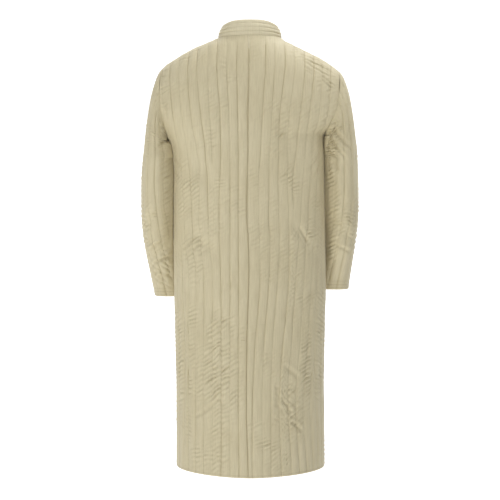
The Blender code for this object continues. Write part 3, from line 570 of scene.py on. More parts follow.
# Wrinkled areas: piece, middle, height, half width, half height, slope, pitch, depth.
WRINKLES = (
    ("back_left", 0.100, -0.290, 0.020, 0.036, -0.40, 0.0105, 0.0017),
    ("back_left", 0.165, -0.405, 0.036, 0.034, -0.50, 0.0100, 0.0024),
    ("back_left", 0.078, -0.410, 0.016, 0.032, -0.30, 0.0105, 0.0016),
    ("back_left", 0.155, -0.575, 0.048, 0.036, -0.50, 0.0110, 0.0016),
    ("back_left", 0.075, -0.900, 0.064, 0.150, -0.58, 0.0108, 0.0021),
    ("back_left", 0.092, -0.930, 0.034, 0.105, -0.58, 0.0108, 0.0012),
    ("back_left", 0.165, -0.775, 0.030, 0.038, -0.40, 0.0105, 0.0016),
    ("back_left", 0.182, -0.860, 0.022, 0.045, -0.35, 0.0110, 0.0022),
    ("back_left", 0.190, -0.960, 0.024, 0.035, -0.35, 0.0105, 0.0025),
    ("back_left", 0.198, -1.065, 0.020, 0.060, 0.25, 0.0105, 0.0022),
    ("back_left", 0.235, -0.320, 0.018, 0.040, -0.70, 0.0100, 0.0015),
    ("back_left", 0.012, -0.830, 0.012, 0.012, 0.00, 0.0080, 0.0014),
    ("back_left", 0.120, -1.140, 0.060, 0.030, -0.30, 0.0120, 0.0010),
    ("back_right", 0.099, -0.270, 0.024, 0.020, 0.50, 0.0105, 0.0020),
    ("back_right", 0.108, -0.385, 0.022, 0.036, 0.45, 0.0105, 0.0022),
    ("back_right", 0.130, -0.405, 0.018, 0.034, 0.35, 0.0100, 0.0023),
    ("back_right", 0.182, -0.545, 0.014, 0.022, 0.30, 0.0100, 0.0017),
    ("back_right", 0.178, -0.905, 0.024, 0.110, 0.40, 0.0110, 0.0023),
    ("back_right", 0.120, -1.010, 0.056, 0.090, 0.70, 0.0125, 0.0017),
    ("back_right", 0.105, -1.010, 0.040, 0.070, -0.50, 0.0150, 0.0012),
    ("back_right", 0.033, -0.783, 0.012, 0.012, 0.00, 0.0080, 0.0014),
    ("back_right", 0.056, -1.107, 0.032, 0.016, 0.30, 0.0095, 0.0018),
    ("back_right", 0.106, -1.148, 0.016, 0.020, 0.80, 0.0095, 0.0018),
    ("back_right", 0.200, -0.340, 0.020, 0.040, 0.70, 0.0100, 0.0013),
    ("back_right", 0.060, -0.640, 0.040, 0.060, 0.50, 0.0120, 0.0009),
    ("sleeve_left", 0.155, -0.400, 0.034, 0.075, 0.50, 0.0120, 0.0024),
    ("sleeve_left", 0.150, -0.530, 0.036, 0.080, 0.50, 0.0120, 0.0022),
    ("sleeve_left", 0.160, -0.150, 0.030, 0.100, 0.50, 0.0220, 0.0018),
    ("sleeve_left", 0.095, -0.485, 0.026, 0.028, 0.08, 0.0085, 0.0009),
    ("sleeve_left", 0.090, -0.650, 0.060, 0.050, 0.50, 0.0170, 0.0014),
    ("sleeve_left", 0.090, -0.650, 0.060, 0.050, -0.50, 0.0170, 0.0012),
    ("sleeve_left", 0.020, -0.520, 0.040, 0.060, 0.40, 0.0130, 0.0014),
    ("sleeve_left", -0.100, -0.500, 0.060, 0.110, -0.50, 0.0125, 0.0020),
    ("sleeve_right", 0.158, -0.200, 0.036, 0.130, -0.45, 0.0210, 0.0030),
    ("sleeve_right", 0.158, -0.200, 0.036, 0.130, 0.55, 0.0230, 0.0026),
    ("sleeve_right", 0.160, -0.385, 0.032, 0.060, -0.40, 0.0120, 0.0022),
    ("sleeve_right", 0.085, -0.505, 0.046, 0.050, 0.05, 0.0100, 0.0009),
    ("sleeve_right", 0.130, -0.600, 0.040, 0.050, -0.50, 0.0120, 0.0012),
    ("sleeve_right", 0.020, -0.540, 0.040, 0.060, 0.40, 0.0130, 0.0012),
    ("sleeve_right", -0.100, -0.500, 0.060, 0.110, -0.50, 0.0125, 0.0020),
    ("front_left", 0.250, -0.330, 0.040, 0.045, -0.60, 0.0120, 0.0018),
    ("front_left", 0.240, -0.560, 0.050, 0.045, -0.50, 0.0130, 0.0022),
    ("front_left", 0.310, -0.900, 0.030, 0.130, 0.40, 0.0120, 0.0022),
    ("front_left", 0.120, -0.930, 0.070, 0.120, -0.55, 0.0125, 0.0016),
    ("front_left", 0.110, -0.400, 0.040, 0.060, 0.40, 0.0125, 0.0014),
    ("front_left", 0.200, -1.080, 0.060, 0.060, 0.60, 0.0130, 0.0014),
    ("front_right", 0.250, -0.325, 0.040, 0.045, -0.60, 0.0120, 0.0018),
    ("front_right", 0.235, -0.555, 0.050, 0.045, -0.50, 0.0130, 0.0022),
    ("front_right", 0.310, -0.880, 0.030, 0.140, 0.40, 0.0120, 0.0022),
    ("front_right", 0.150, -0.980, 0.070, 0.110, -0.55, 0.0125, 0.0016),
    ("front_right", 0.120, -0.300, 0.040, 0.050, 0.40, 0.0125, 0.0014),
    ("front_right", 0.090, -0.700, 0.050, 0.060, 0.50, 0.0130, 0.0014),
)


def gathered():
    """The creases of each gather, uneven in length, place and depth."""
    drawn = np.random.default_rng(5)
    made = []
    for piece, place, height, count, apart, lean, length, wide, depth in GATHERS:
        for k in range(count):
            at = (k - (count - 1) / 2) * apart + drawn.uniform(-0.22, 0.22) * apart
            slide = drawn.uniform(-0.18, 0.18) * length
            half = 0.5 * length * drawn.uniform(0.62, 1.1)
            turn = lean + drawn.uniform(-0.10, 0.10)
            ahead = (math.sin(turn), math.cos(turn))
            middle = (place + at * math.cos(lean) + slide * ahead[0],
                      height - at * math.sin(lean) + slide * ahead[1])
            made.append((piece, middle[0] - half * ahead[0], middle[1] - half * ahead[1],
                         middle[0] + half * ahead[0], middle[1] + half * ahead[1],
                         wide * drawn.uniform(0.8, 1.25), depth * drawn.uniform(0.55, 1.15),
                         drawn.uniform(-0.12, 0.12)))
    return tuple(made)


all_creases = CREASES + gathered()


def creases(piece, a, b):
    deep = np.zeros(len(a))
    for name, a0, b0, a1, b1, wide, depth, bow in all_creases:
        if name != piece:
            continue
        length = math.hypot(a1 - a0, b1 - b0)
        ahead = ((a1 - a0) / length, (b1 - b0) / length)
        q = ((a - a0) * ahead[0] + (b - b0) * ahead[1]) / length
        aside = (b - b0) * ahead[0] - (a - a0) * ahead[1] - bow * length * 4 * q * (1 - q)
        near = (np.abs(aside) < 4 * wide) & (q > -0.35) & (q < 1.35)
        aside = aside[near] / wide
        ends = np.exp(-4.0 * np.maximum(np.abs(2 * q[near] - 1) - 0.45, 0) ** 2)
        hollow = np.exp(-aside ** 2)
        lips = 0.62 * np.exp(-((aside - 1.8) / 0.8) ** 2) + 0.42 * np.exp(-((aside + 2.0) / 0.9) ** 2)
        deep[near] += CREASE_GAIN * depth * ends * (hollow - lips)
    return deep


def ripple(layer, a, b, channel, slope, pitch):
    """Side-by-side wrinkles from -0.35 to 0.65, uneven in strength and set off anew in each channel."""
    ahead = a * math.cos(slope) + b * math.sin(slope)
    aside = b * math.cos(slope) - a * math.sin(slope)
    phase = aside / pitch + 0.36 * noise(layer, ahead / 0.030, aside / 0.024)
    phase = phase + 0.6 * noise(9, channel * 3.3, slope * 7.1)
    wave = (0.5 - 0.5 * np.cos(2 * math.pi * phase)) ** 1.5
    strength = 0.35 + 0.70 * np.clip(noise(10, ahead / 0.024 + channel * 7.7, phase * 0.8) + 0.45, 0.0, 1.3)
    return strength * (wave - 0.35)


def wrinkles(piece, a, b, share, apart):
    """Fine wrinkles over each area of the table, and faint ones over all of it, broken at the sewn lines."""
    channel = np.floor(share + 1e-6)
    deep = np.zeros(len(a))
    for name, place, height, wide, tall, slope, pitch, depth in WRINKLES:
        if name != piece or abs(b[0] - height) > 2 * tall:
            continue
        near = np.exp(-(((a - place) / wide) ** 2 + ((b - height) / tall) ** 2) ** 1.4)
        gain = WRINKLE_GAIN["sleeve" if piece.startswith("sleeve") else "body"]
        deep += gain * depth * near * ripple(4, a, b, channel, slope, pitch)
    tilt = -0.55 if piece in ("back_left", "front_left", "sleeve_right") else 0.55
    spread = np.clip(noise(11, a / 0.060 + 3.7, b / 0.085 + tilt) + 0.25, 0.0, 1.0)
    deep += 0.0026 * spread * ripple(5, a, b, channel, tilt, 0.0110)
    return deep * blend(np.abs(apart) / 0.0045 + 0.28)


def puckers(apart, run, line):
    """The cloth drawn up along a sewn line: small uneven pleats across it, dying out away from it."""
    strength = 0.35 + 0.65 * np.clip(noise(0, run / 0.055, line * 3.7) + 0.35, 0, 1.4)
    pleats = noise(1, run / 0.0075 + np.abs(apart) * 60, line * 5.3 + 0.3 * np.sign(apart))
    return strength * pleats * np.exp(-(apart / 0.0065) ** 2)


def pull(name, line, run):
    """How hard a sewn line is drawn in along its run, from 0.3 to 1."""
    hard = 0.30 + 0.60 * blend(0.5 + 1.1 * noise(8, line * 2.7 + 0.4, run / 0.15))
    if name == "back_left":
        hard = np.where(line == 1, np.maximum(hard, 0.95 * blend((1.08 - run) / 0.15)), hard)
    return np.where(line == 0, 0.85, hard) if name.startswith("back") else hard


def going(name, line, level):
    """1 along a sewn line, 0 below its end."""
    on = np.ones(len(line))
    for side, number, high, low in ENDED:
        if name == "back_" + side:
            on = np.where(line == number, blend((level - low) / (high - low)), on)
    return on


def pressed(side, spot, reach=0.011):
    """1 where the sleeve and the body lie against each other, and 0 elsewhere."""
    low = SLEEVE[side]["z"][0]
    z = np.clip(spot[:, 2], low, pit_z[side])
    beside = np.abs(np.abs(spot[:, 0]) - torso[side](z))
    ends = blend((pit_z[side] + 0.016 - spot[:, 2]) / 0.014) * blend((spot[:, 2] - low + 0.02) / 0.02)
    return blend((reach - beside) / 0.007) * ends


def bulge_room(name, side, spot):
    """0 where a bump on the sleeve or the body would reach the other, and 1 where there is room."""
    near = pressed(side, spot, 0.040 if name.startswith("front") else 0.018)
    if name.startswith("sleeve"):
        low = SLEEVE[side]["z"][0]
        z = np.clip(spot[:, 2], low, pit_z[side])
        beside = np.abs(spot[:, 0]) - body_side(side, spot[:, 1], z)
        ahead = (spot[:, 1] < 0.0) & (spot[:, 2] < pit_z[side])
        near = np.maximum(near, np.where(ahead, blend((0.016 - beside) / 0.006), 0.0))
    return 1.0 - near


def puff(share):
    return np.maximum(0.0, np.sin(math.pi * share)) ** 0.72


def roll(apart, over):
    """Share of the padding at a distance from an edge."""
    return np.sqrt(1.0 - (1.0 - np.clip(apart / over, 0.0, 1.0)) ** 2)


# ---- cloth ----
class Cloth:
    """A wall's points and faces. A row is (columns, numbers), with its two ends outside its columns."""

    def __init__(self, name):
        self.name = name
        self.points = []
        self.places = []
        self.painted_shades = []
        self.faces = []
        self.count = 0
        self.same = {}

    def add(self, points, places, painted_shades):
        self.points.append(points)
        self.places.append(places)
        self.painted_shades.append(painted_shades)
        numbers = np.arange(self.count, self.count + len(points))
        self.count += len(points)
        return numbers

    def zip(self, one, other):
        """Joins two edges that run the same way; each is a list of (place, number)."""
        i = 0
        j = 0
        while i < len(one) - 1 or j < len(other) - 1:
            first = one[i + 1][0] if i < len(one) - 1 else 1e9
            second = other[j + 1][0] if j < len(other) - 1 else 1e9
            if first <= second:
                self.faces.append((one[i][1], one[i + 1][1], other[j][1]))
                i += 1
            else:
                self.faces.append((one[i][1], other[j + 1][1], other[j][1]))
                j += 1

    def skin(self, rows):
        for (low, low_numbers), (high, high_numbers) in zip(rows, rows[1:]):
            shared = np.intersect1d(low, high)
            a = 1 + np.searchsorted(low, shared)
            b = 1 + np.searchsorted(high, shared)
            one = low_numbers[a]
            other = high_numbers[b]
            self.faces += np.stack((one[:-1], one[1:], other[1:], other[:-1]), axis=1).tolist()
            places = [np.concatenate(([c[0] - 1], c, [c[-1] + 1])) for c in (low, high)]
            lists = [list(zip(p.tolist(), n.tolist())) for p, n in zip(places, (low_numbers, high_numbers))]
            self.zip(lists[0][:a[0] + 1], lists[1][:b[0] + 1])
            self.zip(lists[0][a[-1]:], lists[1][b[-1]:])

    def rim(self, one, other):
        """Joins an edge row of the outside to the one of the inside."""
        lists = []
        for columns, numbers in (one, other):
            places = np.concatenate(([columns[0] - 1], columns, [columns[-1] + 1]))
            places[0] = -1e6
            places[-1] = 1e6
            lists.append(list(zip(places.tolist(), numbers.tolist())))
        self.zip(lists[0], lists[1])

    def make(self, material, node):
        points = np.concatenate(self.points)
        places = np.concatenate(self.places)
        painted_shades = np.concatenate(self.painted_shades)
        faces = [tuple(self.same.get(n, n) for n in face) for face in self.faces]
        sheet = bpy.data.meshes.new(self.name)
        sheet.from_pydata(points.tolist(), [], faces)
        order = np.concatenate([np.array(face) for face in self.faces])
        layer = sheet.uv_layers.new(name="cloth")
        layer.data.foreach_set("uv", places[order].astype(np.float32).ravel())
        # Each point's share of painted shade, which the cloth's material uses to darken its colour.
        tint = sheet.attributes.new("painted_shade", "FLOAT", "POINT")
        tint.data.foreach_set("value", painted_shades.astype(np.float32))
        body = bmesh.new()
        body.from_mesh(sheet)
        loose = [v for v in body.verts if not v.link_faces]
        bmesh.ops.delete(body, geom=loose, context="VERTS")
        bmesh.ops.recalc_face_normals(body, faces=body.faces)
        body.to_mesh(sheet)
        body.free()
        sheet.shade_smooth()
        sheet.set_sharp_from_angle(angle=math.radians(58))
        sheet.materials.append(material)
        thing = bpy.data.objects.new(self.name, sheet)
        bpy.context.collection.objects.link(thing)
        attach(thing, "root")
        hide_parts(node)
        return thing


class Lay:
    """One row of a wall while it is worked out."""

    def __init__(self, level, columns, along, share, pitch, start, far):
        self.level = level
        self.columns = columns
        self.along = along
        self.share = share
        self.pitch = pitch
        self.start = start
        self.far = far


def finish_wall(name, lays, surface, track_at, sink_of, flat_of, sewn_rows, material):
    """Makes a wall from its rows: quilting, puckers and creases outside, and a plainer inside."""
    cloth = Cloth(name + "_cloth")
    ring = name.startswith("sleeve")
    open_start = name.startswith("front")
    top = len(lays) - 1
    track = [surface(np.array([track_at]), lay.level)[0] for lay in lays]
    run = np.concatenate(([0.0], np.cumsum(np.linalg.norm(np.diff(track, axis=0), axis=1))))
    row_of = {int(np.argmin(np.abs(run - row))): row for row in sewn_rows}
    far_away = np.full(1, 1.0)
    outside = []
    inside = []
    threads = {}
    for i, lay in enumerate(lays):
        along = lay.along
        spot, normal = surface.at(along, lay.level, i, top)
        to_start = along - lay.start
        to_far = lay.far - along
        seam = np.minimum(far_away if ring else to_far, run[-1] - run[i])
        seam = seam if open_start or ring else np.minimum(seam, to_start)
        free = np.minimum(to_start if open_start else far_away, run[i])
        to_edge = np.broadcast_to(np.minimum(seam, free), along.shape)
        free_of = 1.0 - pressed(name.split("_")[1], spot)
        still = blend(to_edge / 0.030) * free_of
        here = np.full(len(along), run[i])
        level = np.full(len(along), lay.level)
        line = np.round(lay.share)
        big = sink_of(along) + folds(name, along, level) * free_of
        big = big + still * 0.0011 * noise(2, along / 0.075 + 9.1, here / 0.11)
        loft = 1.0 + 0.16 * noise(3, here / 0.07, np.floor(lay.share) * 2.9)
        calm = 0.10 + 0.90 * blend((run[-1] - run[i] - 0.008) / 0.045)
        flat = flat_of(lay.share)
        apart = (lay.share - line) * lay.pitch
        apart = np.where(flat > 0.5, np.where(lay.share < 0.5, 1.0, apart), apart)
        kept = going(name, line, lay.level)
        drawn = pull(name, line, here) * kept
        relief = ((1.0 - puff(lay.share - np.floor(lay.share + 1e-6))) * (0.45 * kept + 0.55 * drawn)
                  * loft * calm)
        relief = relief * (0.25 + 0.75 * free_of)
        pad = WALL - np.where(flat > 0.5, BAND_SINK, PADDING * relief)
        pad = pad - GROOVE * drawn * calm * np.exp(-(apart / 0.0010) ** 2)
        fine = wrinkles(name, along, level, lay.share, apart) * (1 - 0.6 * flat)
        clear = bulge_room(name, name.split("_")[1], spot)
        shift = 0.6 * fine * blend(to_edge / 0.012) * (0.35 + 0.65 * free_of)
        big = np.maximum(big + shift, -0.0030 * clear)
        small = creases(name, along, level) + 0.4 * fine
        small = small - 0.00040 * drawn * puckers(apart, here, line)
        if not ring:
            small = small - calm * (0.0014 * puckers(to_far, here, 41.0)
                                    + 0.0006 * puckers(to_start, here, 37.0))
        small = small - 0.00022 * noise(5, along / 0.006, here / 0.006)
        small = small + 0.00055 * noise(7, along / 0.0085 + 5.0, here / 0.055) * (1.0 - flat)
        sewn = sum(np.exp(-((run[i] - row) / 0.0015) ** 2) for row in sewn_rows)
        small = small + 0.0009 * sewn
        pad = pad - small * blend(to_edge / 0.005) * (0.25 + 0.75 * free_of)
        pad = np.clip(pad, 0.0012, WALL + 0.0020 * clear)
        pad = SEAM_THICK + (pad - SEAM_THICK) * np.maximum(roll(seam, SEAM_ROLL), 1.0 - free_of)
        pad = EDGE_THICK + (pad - EDGE_THICK) * roll(free, EDGE_ROLL)
        places = np.stack((along, here), axis=1)
        # Painted shade: the cloth's colour is darkened along the sewn lines (more so higher up), at seams, free
        # edges and sewn rows, and in crease troughs, where shade falls.
        strong = 0.54 + 0.32 * float(blend((lay.level + 0.75) / 0.30))
        painted_shade = np.where(line == 0, 0.80, strong) * drawn * calm * np.exp(-(apart / 0.0011) ** 2)
        painted_shade = painted_shade + 0.08 * np.exp(-(seam / 0.0010) ** 2) + 0.5 * np.exp(-(free / 0.0012) ** 2)
        painted_shade = np.clip(painted_shade + 0.5 * sewn + np.clip(small, 0, 0.004) * (90.0 if ring else 55.0), 0, 1)
        outer = cloth.add(spot - normal * (big + WALL - pad)[:, None], places, painted_shade)
        if ring:
            cloth.same[int(outer[-1])] = int(outer[0])
        outside.append((lay.columns, outer))
        for k in np.nonzero(lay.columns % len(SHARES) == 0)[0]:
            column = int(lay.columns[k])
            if (flat[k + 1] < 0.5 or lay.share[k + 1] > 0.9) and kept[k + 1] > 0.5:
                threads.setdefault(column, []).append((cloth.points[-1][k + 1], normal[k + 1]))
        if i in row_of:
            threads["row", i] = list(zip(cloth.points[-1][1:-1], normal[1:-1]))
        if i % INSIDE_ROWS == 0 or i == top:
            keep = np.isin(lay.columns % len(SHARES), INSIDE)
            chosen = np.concatenate(([True], keep, [True]))
            plump = 0.0007 * ((1.0 - relief) * blend(to_edge / 0.006))[chosen]
            inner = cloth.add(spot[chosen] - normal[chosen] * (big[chosen] + WALL + plump - 0.0007)[:, None],
                              places[chosen], painted_shade[chosen])
            if ring:
                cloth.same[int(inner[-1])] = int(inner[0])
            inside.append((lay.columns[keep], inner, i))
    cloth.skin(outside)
    cloth.skin([(columns, numbers) for columns, numbers, _ in inside][::-1])
    cloth.rim(outside[0], inside[0][:2])
    cloth.rim(inside[-1][:2], outside[-1])
    if not ring:
        for end in (0, -1):
            edge = [(i, int(numbers[end])) for i, (_, numbers) in enumerate(outside)]
            back = [(i, int(numbers[end])) for _, numbers, i in inside]
            cloth.zip(edge, back)
    thing = cloth.make(material, name)
    return thing, stitches(name, list(threads.values()))


# ---- thread ----
def stitches(name, lines):
    """Every stitch of a piece, as one mesh: a short thread with pointed ends, sunk in its line."""
    drawn = np.random.default_rng(len(name) + 3)
    centres = []
    ways = []
    outs = []
    for line in lines:
        if len(line) < 4:
            continue
        spots = np.array([p[0] for p in line])
        normals = np.array([p[1] for p in line])
        run = np.concatenate(([0.0], np.cumsum(np.linalg.norm(np.diff(spots, axis=0), axis=1))))
        if run[-1] < 0.03:
            continue
        places = np.arange(0.005, run[-1] - 0.004, THREAD_PITCH)
        places = places + drawn.uniform(-0.0003, 0.0003, len(places))
        mid = np.stack([np.interp(places, run, spots[:, k]) for k in range(3)], axis=1)
        end = np.stack([np.interp(places + 0.001, run, spots[:, k]) for k in range(3)], axis=1)
        out = unit(np.stack([np.interp(places, run, normals[:, k]) for k in range(3)], axis=1))
        way = unit(end - mid)
        side = np.cross(way, out)
        way = unit(way + side * drawn.uniform(-0.10, 0.10, len(places))[:, None])
        centres.append(mid)
        ways.append(way)
        outs.append(out)
    mid = np.concatenate(centres)
    way = np.concatenate(ways)
    out = np.concatenate(outs)
    side = np.cross(way, out)
    half = THREAD_THICK / 2
    corners = np.stack((
        mid - way * THREAD_LONG / 2 - out * 0.0002,
        mid + way * THREAD_LONG / 2 - out * 0.0002,
        mid + out * 2 * half, mid + side * half + out * half * 0.4,
        mid - out * half, mid - side * half + out * half * 0.4), axis=1)
    points = corners.reshape(-1, 3)
    base = np.arange(len(mid))[:, None] * 6
    faces = []
    for a, b in ((2, 3), (3, 4), (4, 5), (5, 2)):
        faces.append(base + np.array([0, a, b]))
        faces.append(base + np.array([1, b, a]))
    faces = np.concatenate(faces)
    sheet = bpy.data.meshes.new(name + "_stitches")
    sheet.from_pydata(points.tolist(), [], faces.tolist())
    sheet.shade_smooth()
    sheet.materials.append(thread)
    thing = bpy.data.objects.new(name + "_stitches", sheet)
    bpy.context.collection.objects.link(thing)
    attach(thing, "root")
    return thing


# ---- body panels ----
def body_levels(step):
    low = [HEM_Z + d for d in EDGE_ROWS]
    low += list(np.linspace(low[-1] + step, BLADE_Z, int((BLADE_Z - low[-1]) / step)))
    high = list(np.linspace(BLADE_Z, -0.0045, int(0.160 / step)))[1:]
    return low + high + [-0.0028, -0.0015, -0.0006, 0.0]


class Surface:
    """A panel's or sleeve's surface, with the points and normals of a row."""

    def __init__(self, row, at):
        self.row = row
        self.at = at

    def __call__(self, along, level):
        return self.row(along, level)


def panel(piece, side, face, material):
    shift = CENTRE_SEAM * SIDES[side] if face > 0 else 0.0

    def row(along, level):
        return body_row(side, face, along + shift, level)

    turn = 1.0 if np.dot(row_normals(row, np.array([0.10]), -0.60)[0], (0.0, face, 0.0)) > 0 else -1.0

    def at(along, level, i, top):
        spot = row(along, level)
        normal = row_normals(row, along, level, top=0.0) * turn
        if i == top:
            ridge = np.abs(spot[:, 1]) < 0.0005
            normal[ridge, 1] = 0.0
            normal = unit(normal)
            spot[ridge, 1] = face * SEWN
            corner = ridge & (np.abs(spot[:, 0]) < torso[side](0.0) + 0.001)
            spot[corner, 0] += SIDES[side] * SEAM_GAP * 3
            seam = row(along + 0.001, 0.0) - row(along - 0.001, 0.0)
            way = unit(np.cross(normal, seam))
            down = row(along, -0.004) - row(along, 0.0)
            way = way * np.where(np.sum(way * down, axis=1) < 0, -1.0, 1.0)[:, None]
            spot = np.where(ridge[:, None], spot, spot + way * SEAM_GAP * 0.6)
        return spot, normal

    corner = along_to_x(side, face, torso[side](0.0) / spread_at[side], BLADE_Z) - shift
    lays = []
    for level in body_levels(ROW["back" if face > 0 else "front"]):
        far = cloth_edge(side, face, min(level, BLADE_Z)) - shift - SEWN
        start = SEAM_GAP / 2 + SIDES[side] * float(seam_sway(max(level, -1.177))) if face > 0 else -LAP
        pitch = float(quilt_pitch(level)) if face > 0 else FRONT_PITCH
        held = min(max(level, -1.177), -0.112)
        places = [start] + ([float(run(held)) for run in back_lines[side]] if face > 0 else [FRONT_FIRST])
        while len(places) < 18:
            places.append(places[-1] + pitch)
        places = np.array(places)
        line = np.arange(18)
        wander = noise(6, np.full(18, (level - HEM_Z) / 0.07), line * 4.1 + SIDES[side] + 2 * face)
        places = places + np.where(line == 0, 0.0, 0.0007 if face > 0 else 0.0012) * wander
        wide = np.diff(places)
        columns = np.arange(1, 16 * len(SHARES))
        share = columns // len(SHARES) + np.array(SHARES)[columns % len(SHARES)]
        along = np.interp(share, line, places)
        rise = max(0.0, 1.0 - level / BLADE_Z)
        if rise > 0:
            nearest = along[np.argmin(np.abs(along - corner))]
            along = along + (corner - nearest) * rise ** 2 * np.exp(-((along - nearest) / 0.005) ** 2)
        keep = along < far - 0.0012
        last = share[keep][-1] + (far - along[keep][-1]) / pitch
        share = np.concatenate(([0.0], share[keep], [last]))
        lay = Lay(level, columns[keep], np.concatenate(([start], along[keep], [far])), share,
                  wide[np.floor(share + 1e-6).astype(int)], start, far)
        lays.append(lay)

    def sink_of(along):
        return lap_sink(along) if piece == "front_right" else np.zeros(len(along))

    def flat_of(share):
        return (share < 0.999).astype(float) if face < 0 else np.zeros(len(share))

    return finish_wall(piece, lays, Surface(row, at), 0.12, sink_of, flat_of, HEM_LINES, material)


def sleeve(piece, side, material):
    cuff = SLEEVE[side]["z"][0]
    levels = [cuff + d for d in EDGE_ROWS]
    step = ROW["sleeve"]
    levels += list(np.linspace(levels[-1] + step, BICEP_Z, int((BICEP_Z - levels[-1]) / step)))
    levels += list(np.linspace(BICEP_Z, -0.0060, 84))[1:] + [-0.0036, -0.0018, -0.0007, 0.0]

    def row(along, level):
        return sleeve_row(side, along, level)

    probe = row_normals(row, np.array([0.001]), -0.50)[0]
    turn = 1.0 if probe[0] * SIDES[side] > 0 else -1.0

    def at(along, level, i, top):
        half = sleeve_half(side, level)
        spot = row(along, level)
        held = np.clip(along, 0.0025 - half, half - 0.0025)
        normal = row_normals(row, held, level, top=0.0) * turn
        joint = unit(normal[0] + normal[-1])
        normal[0] = joint
        normal[-1] = joint
        return spot, normal

    lays = []
    for level in levels:
        half = sleeve_half(side, level)
        count = len(SHARES)
        columns = np.arange(-9 * count, 10 * count)
        share = columns // count + np.array(SHARES)[columns % count]
        line = np.arange(-12, 13)
        wander = 0.0010 * noise(7, np.full(25, (level - cuff) / 0.08), line * 4.1 + SIDES[side])
        along = share * SLEEVE_PITCH + SLEEVE_START + np.interp(share, line, wander)
        keep = np.abs(along) < half - 0.0012
        share_low = share[keep][0] - (along[keep][0] + half) / SLEEVE_PITCH
        share_high = share[keep][-1] + (half - along[keep][-1]) / SLEEVE_PITCH
        lay = Lay(level, columns[keep], np.concatenate(([-half], along[keep], [half])),
                  np.concatenate(([share_low], share[keep], [share_high])), SLEEVE_PITCH, -half, half)
        lays.append(lay)

    def none(along):
        return np.zeros(len(along))

    return finish_wall(piece, lays, Surface(row, at), 0.0, none, none, CUFF_LINES, material)


# ---- collar ----
COLLAR_SHARES = (0.0, 0.06, 0.16, 0.32, 0.50, 0.68, 0.84, 0.94)
COLLAR_COLUMNS = 276
COLLAR_ROLL = 0.0028
COLLAR_PADDING = 0.0021
COLLAR_CHANNEL = 0.0115
neck_store = {}


def front_neck(side):
    if side not in neck_store:
        half = torso[side](0.0)
        x = half * np.cos(math.pi / 2 * np.linspace(0.0, 1.12, 449) ** 2)
        z = neck_z(side, -1.0, np.abs(x))
        places = np.stack((SIDES[side] * x, -depth_at(side, -1.0, x, z), z), axis=1)
        places[0, 1] = 0.0
        run = np.concatenate(([0.0], np.cumsum(np.linalg.norm(np.diff(places, axis=0), axis=1))))
        middle = np.interp(0.0, -x, run)
        neck_store[side] = (0.5 + 0.5 * run / middle, places)
    return neck_store[side]


def neck_loop(share):
    """Points of the neck seam; share runs from -1 at centre front through 0 at centre back to 1."""
    share = np.asarray(share, dtype=float)
    points = np.empty((len(share), 3))
    for side in SIDES:
        mask = (share >= 0) if side == "left" else (share < 0)
        away = np.abs(share[mask])
        turn = away * math.pi
        half = torso[side](0.0)
        behind = np.stack((SIDES[side] * half * np.sin(turn), torso["back"](0.0) * np.cos(turn),
                           np.zeros(len(turn))), axis=1)
        at, places = front_neck(side)
        before = np.stack([np.interp(away, at, places[:, k]) for k in range(3)], axis=1)
        points[mask] = np.where((away <= 0.5)[:, None], behind, before)
    return points


def neck_frame(shares):
    """Where the collar is sewn to the body: the way the body faces there, and the way into it."""
    feet = neck_loop(shares)
    seams = neck_loop(shares + 0.004) - neck_loop(shares - 0.004)
    normals = []
    for share, foot in zip(shares, feet):
        side = "left" if foot[0] >= 0 else "right"
        face = 1.0 if abs(share) < 0.5 else -1.0
        along = along_to_x(side, face, abs(foot[0]) / spread_at[side], BLADE_Z)

        def row(a, b):
            return body_row(side, face, a, b)

        normal = row_normals(row, np.array([along]), 0.0, top=0.0)[0]
        inside = np.array((0.5 * foot[0], 0.0, foot[2] - 0.05))
        spot = row(np.array([along]), 0.0)[0]
        normals.append(normal if np.dot(normal, spot - inside) > 0 else -normal)
    normals = np.array(normals)
    ways = unit(np.cross(normals, seams))
    inward = np.stack((feet[:, 0], feet[:, 1], np.full(len(feet), -0.05)), axis=1)
    ways = ways * np.where(np.sum(ways * inward, axis=1) < 0, -1.0, 1.0)[:, None]
    return normals, ways


def collar_top(share):
    side_half = np.where(share >= 0, COLLAR_HALF["left"], -COLLAR_HALF["right"])
    turn = np.abs(share) * math.pi
    q = np.sin(turn) ** 4
    back_z = COLLAR_TOP["back"] * (1.0 - q) + COLLAR_TOP["side"] * q
    q = blend(-np.cos(turn))
    front_z = COLLAR_TOP["side"] * (1.0 - q) + COLLAR_TOP["front"] * q
    behind = turn <= math.pi / 2
    deep = np.where(behind, COLLAR_HALF["back"], COLLAR_HALF["front"])
    return np.stack((side_half * np.sin(turn), deep * np.cos(turn), np.where(behind, back_z, front_z)), axis=1)


def collar_row(share, height):
    point = neck_loop(share) * (1.0 - height) + collar_top(share) * height
    out = unit(point * np.array((1.0, 1.0, 0.0)))
    return point + out * 0.004 * math.sin(math.pi * height)


